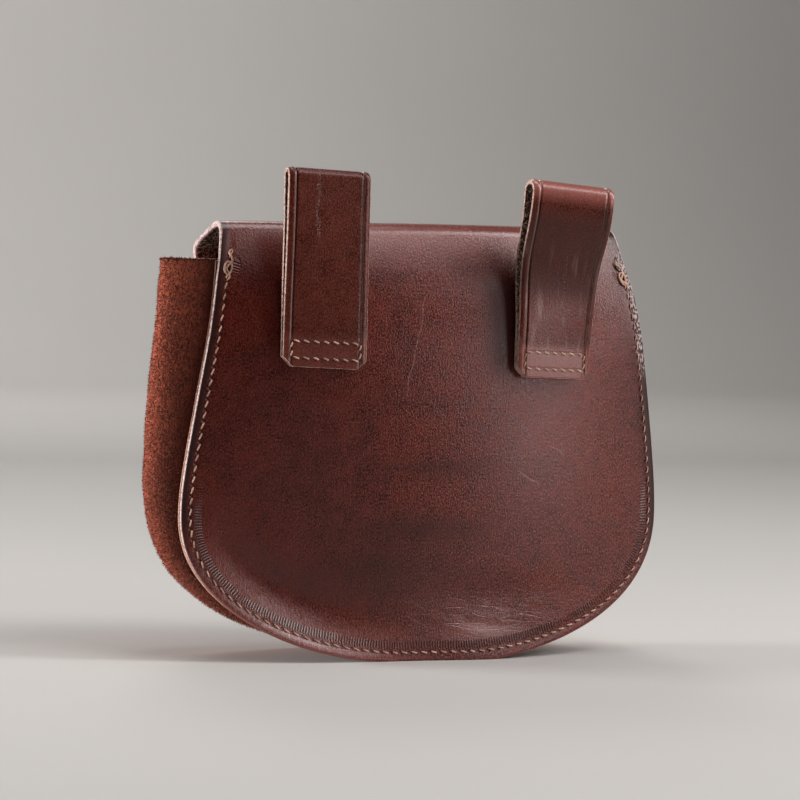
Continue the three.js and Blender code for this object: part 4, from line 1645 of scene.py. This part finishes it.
        root = between(outer)
        normal = unit(between(normals))
        lean = unit(np.cross(normal, random.normal(size=root.shape))
                    + np.array([0.0, 0.0, 1.0]) * np.where(fringe, 1.6, -0.5)[:, None])
        length = random.uniform(0.6, 1.5, self.fibres)[:, None]
        upright = random.uniform(0.22, 0.75, self.fibres)[:, None]
        tip = root + (lean * (1.0 - upright) + normal * upright) * length
        side = unit(np.cross(normal, lean)) * random.uniform(0.09, 0.19, self.fibres)[:, None]
        root = root - normal * 0.08
        points = np.stack([root + side, root - side, tip], axis=1).reshape(-1, 3)
        points[:, 2] = np.maximum(points[:, 2], self.fibre_ground)
        faces = np.arange(3 * self.fibres).reshape(-1, 3)
        # Fibres are darker near the back seam: painted shade beside it.
        tone = random.uniform(0.0, 1.0, self.fibres) ** 1.8 * blend(0.08, 1.0, smooth(v, 15.0, 32.0))
        tones = np.stack([tone, tone, tone, np.ones_like(tone)], axis=1)
        return Piece(points, faces, {}, {"tone": tones})


@dataclass
class BeltLoop:
    """Strap folded double over the belt and sewn to the back at its foot."""

    pattern: Pattern
    side: Side
    x: float
    top: float
    foot: float
    belt_gap: float
    top_slope: float
    sideways: float
    tilt_foot: float
    tilt_top: float
    head_lean: float = 0.0
    hollow: float = 0.0
    width: float = 2.0 * STRAP_HALF
    sewn: float = 11.5
    leather: float = 2.0
    layer_gap: float = 0.4
    clip: float = 3.5
    crease_depth: float = 0.34
    crease_lip: float = 0.10
    edge_round: float = 0.42
    edge_reach: float = 0.4
    clip_rows: int = 8
    leg_rows: int = 62
    turn_rows: int = 18
    edge_swell: float = 0.2

    @property
    def opening(self) -> float:
        """Height where the two layers part."""
        return self.foot + self.sewn

    def free(self, z: Array) -> Array:
        """0 where the strap lies on the panel, 1 where it stands free: a smooth step up most of its height."""
        return smooth(z, self.opening - 4.0, self.top - 12.0)

    def parting(self, z: Array) -> Array:
        """How far the layers have parted: straight from the sewn foot to the top, with an eased start."""
        part = np.clip((z - self.opening) / (self.top - 6.0 - self.opening), 0.0, 1.0)
        return part * (1.0 - 0.6 * (1.0 - part) ** 4)

    def path(self) -> Array:
        """Middle line of the strap as distance from the panel and height: up outside, over, down inside."""
        inner = self.pattern.clearance + self.leather / 2.0
        closed, wide = self.leather + self.layer_gap, self.leather + self.belt_gap
        turn = wide / 2.0
        shoulder = self.top - self.leather / 2.0 - turn
        low = np.linspace(self.foot, self.foot + self.clip, self.clip_rows, endpoint=False)
        z = np.concatenate([low, np.linspace(self.foot + self.clip, shoulder, self.leg_rows)])
        outer_leg = np.stack([inner + blend(closed, wide, self.parting(z)), z], axis=1)
        inner_leg = np.stack([np.full_like(z, inner), z], axis=1)[::-1]
        angle = np.linspace(0.0, np.pi, self.turn_rows)[1:-1]
        over = np.stack([inner + turn * (1.0 + np.cos(angle)), shoulder + turn * np.sin(angle)], axis=1)
        return np.concatenate([outer_leg, over, inner_leg])

    def face(self, x: Array, z: Array) -> Array:
        """Face that the strap's inner layer follows: the bowed panel at its foot, a standing plane above.

        It goes straight up from the foot while the panel leans away. The bow across turns into the plane's
        slope, and the strap bends: it draws back in the middle of its height and its head leans out.

        Args:
            x: Places across.
            z: Heights.

        Returns:
            y of the face.
        """
        level = np.full_like(x, self.foot)
        middle = self.pattern.back_face(np.full_like(x, self.x), level)
        standing = middle + self.top_slope * (x - self.x)
        bend = self.hollow * bell(z, 148.0, 14.0) - self.head_lean * smooth(z, 152.0, 174.0)
        return blend(self.pattern.back_face(x, level), standing, self.free(z)) + bend

    def tilted(self, x: Array, z: Array) -> Array:
        """Heights of the strap's points after it is turned a little in its own plane."""
        return z + blend(self.tilt_foot, self.tilt_top, self.free(z)) * (x - self.x)

    def across(self) -> Array:
        """Places across the strap from -1 to 1, dense round the creased lines."""
        return panel_columns((0.0, 0.008, 0.018, 0.032, 0.050), 0.30, 16, 17)

    def grids(self) -> tuple[Array, Array, Array]:
        """Middle grid, flat coordinates and relief of the grain side.

        Returns:
            Points (rows, columns, 3), flat coordinates (rows, columns, 2) and relief (rows, columns).
        """
        path = self.path()
        across = self.across()
        z = np.broadcast_to(path[:, 1:], (len(path), len(across)))
        cut = self.clip * (1.0 - np.minimum(1.0, (path[:, 1] - self.foot) / self.clip))
        half = (self.width / 2.0 - cut)[:, None]
        lean = self.sideways * np.maximum(0.0, z - self.opening) / (self.top - self.opening)
        local = half * across
        x = self.x + lean + local
        points = np.stack([x, self.face(x, z) - path[:, :1], self.tilted(x, z)], axis=-1)
        run = np.broadcast_to(run_along(path)[:, None], local.shape)
        flat = np.stack([local, run], axis=-1)
        inset = self.width / 2.0 - np.abs(local)
        groove = -self.crease_depth * bell(inset, CREASE_INSET, 0.36)
        lip = self.crease_lip * bell(inset, CREASE_INSET - 1.1, 0.7)
        return points, flat, groove + (lip - self.edge_round * np.exp(-inset / self.edge_reach))

    def build(self, finish: StrapFinish) -> None:
        """Makes the strap.

        Args:
            finish: Leather of the strap.
        """
        middle, flat, relief = self.grids()
        normals = grid_normals(middle)
        outer = middle + normals * (self.leather / 2.0 + relief[..., None])
        inner = middle - normals * (self.leather / 2.0)
        points, faces, skins, source = closed_sheet(outer, inner, self.edge_swell)
        word = self.side.name.lower()
        piece = Piece(points, faces, {"flat": flat.reshape(-1, 2)[source]}, {"skin": skins})
        material = finish.material(f"strap_leather_{word}")
        item = piece.to_object(f"strap_{word}", self.pattern.place(), material)
        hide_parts(f"belt_loop_{word}")
        Cut(middle).declare(item)

    def stitch_box(self) -> list[Piece]:
        """The box of stitches at the foot: two rows across joined by two short sides."""
        half, low, high = BOX_HALF, self.foot + BOX_LOW, self.foot + BOX_HIGH
        corners = np.array([[-half, high], [half, high], [half, low], [-half, low], [-half, high]])
        counts = (7, 2, 7, 2)
        row = StitchRow(pitch=3.8, thread=0.70, slant=-0.42)
        depth = self.pattern.clearance + 2.0 * self.leather + self.layer_gap
        pieces = []
        for start, end, count in zip(corners[:-1], corners[1:], counts):
            spots = blend(start, end, np.linspace(0.0, 1.0, count + 1)[:, None])
            x, z = self.x + spots[:, 0], spots[:, 1]
            slope, _ = slopes(self.face, x, z)
            normals = unit(np.stack([slope, -np.ones_like(x), np.zeros_like(x)], axis=1))
            holes = np.stack([x, self.face(x, z) - depth, self.tilted(x, z)], axis=1)
            pieces.append(row.build(holes, normals))
        return pieces


@dataclass
class Stitches:
    """All the thread of the pouch."""

    pattern: Pattern
    back: BackAndFlap
    front: FrontPanel
    loops: tuple[BeltLoop, ...]
    tack_rings: int = 40
    tack_sides: int = 8
    tack_length: float = 13.0
    tack_sway: float = 0.85
    tack_thread: float = 0.8
    loop_thread: float = 0.85

    def tacks(self, holes: Array, normals: Array) -> list[Piece]:
        """Knotted ends of the back seam: one strand laid zigzag over the first holes, and one open loop.

        The strand's sideways place is a sine of its run; the loop is an ellipse. Both lie on the seam's line, a
        little above the leather.

        Args:
            holes: Holes of the seam, (count, 3).
            normals: Outward normals at the holes.

        Returns:
            Meshes of both ends.
        """
        pieces = []
        part = np.linspace(0.0, 1.0, self.tack_rings)
        for order in (slice(None), slice(None, None, -1)):
            start, end = holes[order][0], holes[order][3]
            up = normals[order][1]
            way = unit(end - start)
            side = np.cross(way, up)
            zigzag = self.tack_sway * np.sin(part * 4.0 * np.pi)
            ends = 1.0 - smooth(np.minimum(part, 1.0 - part), 0.0, 0.06)
            lift = 0.45 + 0.25 * np.cos(part * 8.0 * np.pi) - 0.9 * ends
            run = part * self.tack_length
            line = start + way * run[:, None] + side * zigzag[:, None] + up * lift[:, None]
            turn = part * FULL_TURN
            along, off = 8.0 + 2.5 * np.cos(turn), 0.3 + 1.35 * np.sin(turn)
            over = 0.5 + 0.2 * np.sin(2.0 * turn)
            loop = start + way * along[:, None] + side * off[:, None] + up * over[:, None]
            ups = np.broadcast_to(up, line.shape)
            pieces.append(strand(line, ups, self.tack_thread, self.tack_sides))
            pieces.append(strand(loop, ups, self.loop_thread, self.tack_sides))
        return pieces

    def build(self, finish: ThreadFinish) -> None:
        """Makes the seams' and the boxes' stitches.

        Args:
            finish: Thread.
        """
        material = finish.material("thread")
        place = self.pattern.place()
        row = StitchRow()
        holes, normals = self.back.seam_line()
        back = joined([row.build(holes, normals), *self.tacks(holes, normals)])
        front = row.build(*self.front.seam_line())
        back.to_object("back_stitches", place, material)
        front.to_object("front_stitches", place, material)
        for loop in self.loops:
            box = joined(loop.stitch_box())
            box.to_object(f"strap_stitches_{loop.side.name.lower()}", place, material)


@dataclass
class ClosingStud:
    """Plain brass stud: plate inside the front, post, and a round head outside the flap."""

    pattern: Pattern
    height: float = 62.0
    post: float = 2.0
    plate_radius: float = 5.0
    plate_thickness: float = 1.6
    plate_gap: float = 0.7
    head_radius: float = 4.6
    neck: float = 1.2
    fillet: tuple[float, float] = (0.3, 0.4)
    pole_radius: float = 0.02
    pole_angle: float = 0.02
    sides: int = 48

    def build(self, finish: BrassFinish) -> None:
        """Turns the stud's profile about an axis along Y.

        The profile runs from the plate's middle over its rounded rim to the post and round the head's circle.

        Args:
            finish: Brass.
        """
        centre = np.zeros(1)
        face = float(self.pattern.front_face(centre, centre + self.height)[0])
        plate = face - self.pattern.front_leather - self.plate_gap - self.plate_thickness
        neck_end = face + self.pattern.flap_clearance + self.pattern.back_leather + self.neck
        ball = neck_end + self.head_radius
        rim = np.linspace(-QUARTER_TURN, QUARTER_TURN, 9)
        half = self.plate_thickness / 2.0
        flat = self.plate_radius - half
        plate_rim = np.stack([flat + half * np.cos(rim), plate + half + half * np.sin(rim)], axis=1)
        angle = np.linspace(np.pi - np.arcsin(self.post / self.head_radius), self.pole_angle, 24)
        head = np.stack([self.head_radius * np.sin(angle), ball + self.head_radius * np.cos(angle)], axis=1)
        start = np.array([[self.pole_radius, plate]])
        wide, long = self.fillet
        root = plate + self.plate_thickness
        post = np.array([[self.post + wide, root], [self.post, root + long]])
        profile = np.concatenate([start, plate_rim, post, head])
        turn = np.linspace(0.0, FULL_TURN, self.sides, endpoint=False)
        radius, y = profile[:, :1], profile[:, 1:]
        points = np.stack([radius * np.cos(turn), np.broadcast_to(y, (len(profile), self.sides)),
                           self.height + radius * np.sin(turn)], axis=-1)
        faces = capped_tube(len(profile), self.sides)[:, ::-1]
        piece = Piece(points.reshape(-1, 3), faces)
        item = piece.to_object("brass_stud", self.pattern.place(), finish.material("brass"))
        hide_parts("closing_stud")


@dataclass(frozen=True)
class Softbox:
    """A rectangular studio light in metres and watts: where it stands, its size, power and aim."""

    name: str
    position: Triple
    width: float
    height: float
    power: float
    aim: Triple = (0.0, -0.01, 0.09)

    def build(self) -> None:
        """Makes the light, turned so that it faces its aim."""
        light = bpy.data.lights.new(self.name, "AREA")
        light.shape = "RECTANGLE"
        light.size, light.size_y = self.width, self.height
        light.energy = self.power
        item = bpy.data.objects.new(self.name, light)
        bpy.context.scene.collection.objects.link(item)
        position = np.array(self.position)
        back = unit(position - np.array(self.aim))
        right = unit(np.cross(np.array([0.0, 0.0, 1.0]), back))
        item.matrix_world = world_matrix(right, np.cross(back, right), back, position)


@dataclass
class Studio:
    """Floor, lights and camera."""

    pattern: Pattern
    azimuth: float = -23.0
    elevation: float = 3.0
    roll: float = 1.9
    distance: float = 1200.0
    pixels_per_mm: float = 2.622
    picture: float = 800.0
    aim_height: float = 80.0
    shift_right: float = -15.3
    shift_up: float = 19.7
    sensor: float = 36.0
    far_clip: float = 100.0
    floor_half: float = 6.0
    floor_front: float = -5.0
    floor_flat: float = 1.9
    floor_radius: float = 0.9
    floor_wall: float = 2.2
    lights: tuple[Softbox, ...] = ()
    world: Colour = (0.86, 0.80, 0.76, 1.0)
    world_strength: float = 0.03

    def camera(self) -> None:
        """Camera at the photograph's angle: it looks from the back left, a little above, slightly rolled."""
        azimuth, elevation, roll = np.radians([self.azimuth, self.elevation, self.roll])
        level = np.array([np.cos(azimuth), np.sin(azimuth), 0.0])
        toward, rise = np.cos(elevation), np.sin(elevation)
        back = np.array([np.sin(azimuth) * toward, -np.cos(azimuth) * toward, rise])
        upright = np.cross(back, level)
        right = level * np.cos(roll) + upright * np.sin(roll)
        up = upright * np.cos(roll) - level * np.sin(roll)
        target = self.pattern.place() + np.array([0.0, 0.0, self.aim_height])
        position = target + right * self.shift_right + up * self.shift_up + back * self.distance
        data = bpy.data.cameras.new("camera")
        data.sensor_width = self.sensor
        data.lens = self.pixels_per_mm * self.distance * self.sensor / self.picture
        data.clip_end = self.far_clip
        item = bpy.data.objects.new("camera", data)
        bpy.context.scene.collection.objects.link(item)
        item.matrix_world = world_matrix(right, up, back, position * MM)
        bpy.context.scene.camera = item

    def floor(self, finish: FloorFinish) -> None:
        """Floor that sweeps up behind the pouch: level, then a quarter of a circle, then upright.

        Args:
            finish: Floor paint.
        """
        radius, flat = self.floor_radius, self.floor_flat
        angle = np.linspace(0.0, QUARTER_TURN, 24)
        y = np.concatenate([[self.floor_front], flat + radius * np.sin(angle), [flat + radius]])
        z = np.concatenate([[0.0], radius * (1.0 - np.cos(angle)), [radius + self.floor_wall]])
        x = np.linspace(-self.floor_half, self.floor_half, 9)
        grid = np.stack(np.broadcast_arrays(x, y[:, None], z[:, None]), axis=-1)
        mesh = bpy.data.meshes.new("floor")
        mesh.from_pydata(grid.reshape(-1, 3), [], grid_quads(numbered(len(y), len(x))))
        mesh.polygons.foreach_set("use_smooth", np.ones(len(mesh.polygons), dtype=bool))
        mesh.materials.append(finish.material("studio_floor"))
        mesh.update()
        item = bpy.data.objects.new("floor", mesh)
        bpy.context.scene.collection.objects.link(item)

    def build(self, finish: FloorFinish) -> None:
        """Sets up the camera, the floor, the lights and the world."""
        self.camera()
        self.floor(finish)
        for light in self.lights:
            light.build()
        world = bpy.data.worlds.new("studio")
        world.use_nodes = True
        background = world.node_tree.nodes["Background"]
        background.inputs["Color"].default_value = self.world
        background.inputs["Strength"].default_value = self.world_strength
        bpy.context.scene.world = world
        bpy.context.scene.view_settings.view_transform = "Standard"


LIGHTS = (
    Softbox("key", (0.77, -0.98, 0.20), 0.34, 0.30, 2.2),
    Softbox("strip", (0.98, -0.43, 0.75), 0.30, 0.95, 8.0),
    Softbox("crown", (0.42, -0.51, 1.15), 0.90, 0.30, 3.4),
    Softbox("zenith", (0.10, -0.02, 1.40), 0.60, 0.40, 3.5, aim=(0.0, 0.0, 0.09)),
    Softbox("front", (0.66, -0.84, 0.73), 0.30, 0.24, 1.1),
    Softbox("left", (-1.18, 0.38, 0.22), 0.36, 0.36, 18.0, aim=(-0.05, 0.0, 0.09)),
    Softbox("rear", (0.10, 1.30, 1.40), 0.80, 0.60, 6.0, aim=(0.0, 0.30, 0.05)),
    Softbox("backdrop", (0.0, 1.20, 1.30), 1.60, 0.40, 20.0, aim=(0.0, 2.80, 1.00)),
)

SCRATCHES = (
    Scratch((-6.5, 142.0), (-15.5, 98.0), 0.4, 0.55),
    Scratch((46.5, 82.5), (54.0, 78.5), 0.3, 1.0),
    Scratch((32.5, 73.0), (43.5, 67.0), 0.3, 1.0),
)


def main() -> None:
    """Builds the pouch piece by piece and sets it in the studio."""
    logging.basicConfig(level=logging.INFO, format="%(name)s %(message)s")
    pattern = Pattern()
    Studio(pattern, lights=LIGHTS).build(FloorFinish())
    back = BackAndFlap(pattern)
    back.build(PanelFinish(scratches=SCRATCHES))
    front = FrontPanel(pattern)
    front.build(LeatherFinish())
    Gusset(pattern, back).build(SuedeFinish(), FibreFinish())
    left = BeltLoop(pattern, Side.LEFT, x=-48.8, top=185.5, foot=111.4, belt_gap=2.7, top_slope=-0.05,
                    sideways=-1.2, tilt_foot=-0.03, tilt_top=-0.035)
    left.build(StrapFinish(crack=(-4.5, 53.0, 73.0)))
    right = BeltLoop(pattern, Side.RIGHT, x=46.0, top=184.0, foot=108.8, belt_gap=5.8, top_slope=-0.15,
                     sideways=2.5, tilt_foot=-0.03, tilt_top=-0.085, head_lean=2.3, hollow=2.0)
    right.build(StrapFinish(crack=(2.0, 30.0, 45.0), head_gloss_and_painted_light=1.0, foot_gloss_and_painted_sheen=0.4))
    Stitches(pattern, back, front, (left, right)).build(ThreadFinish())
    ClosingStud(pattern).build(BrassFinish())


if __name__ == "__main__":
    main()
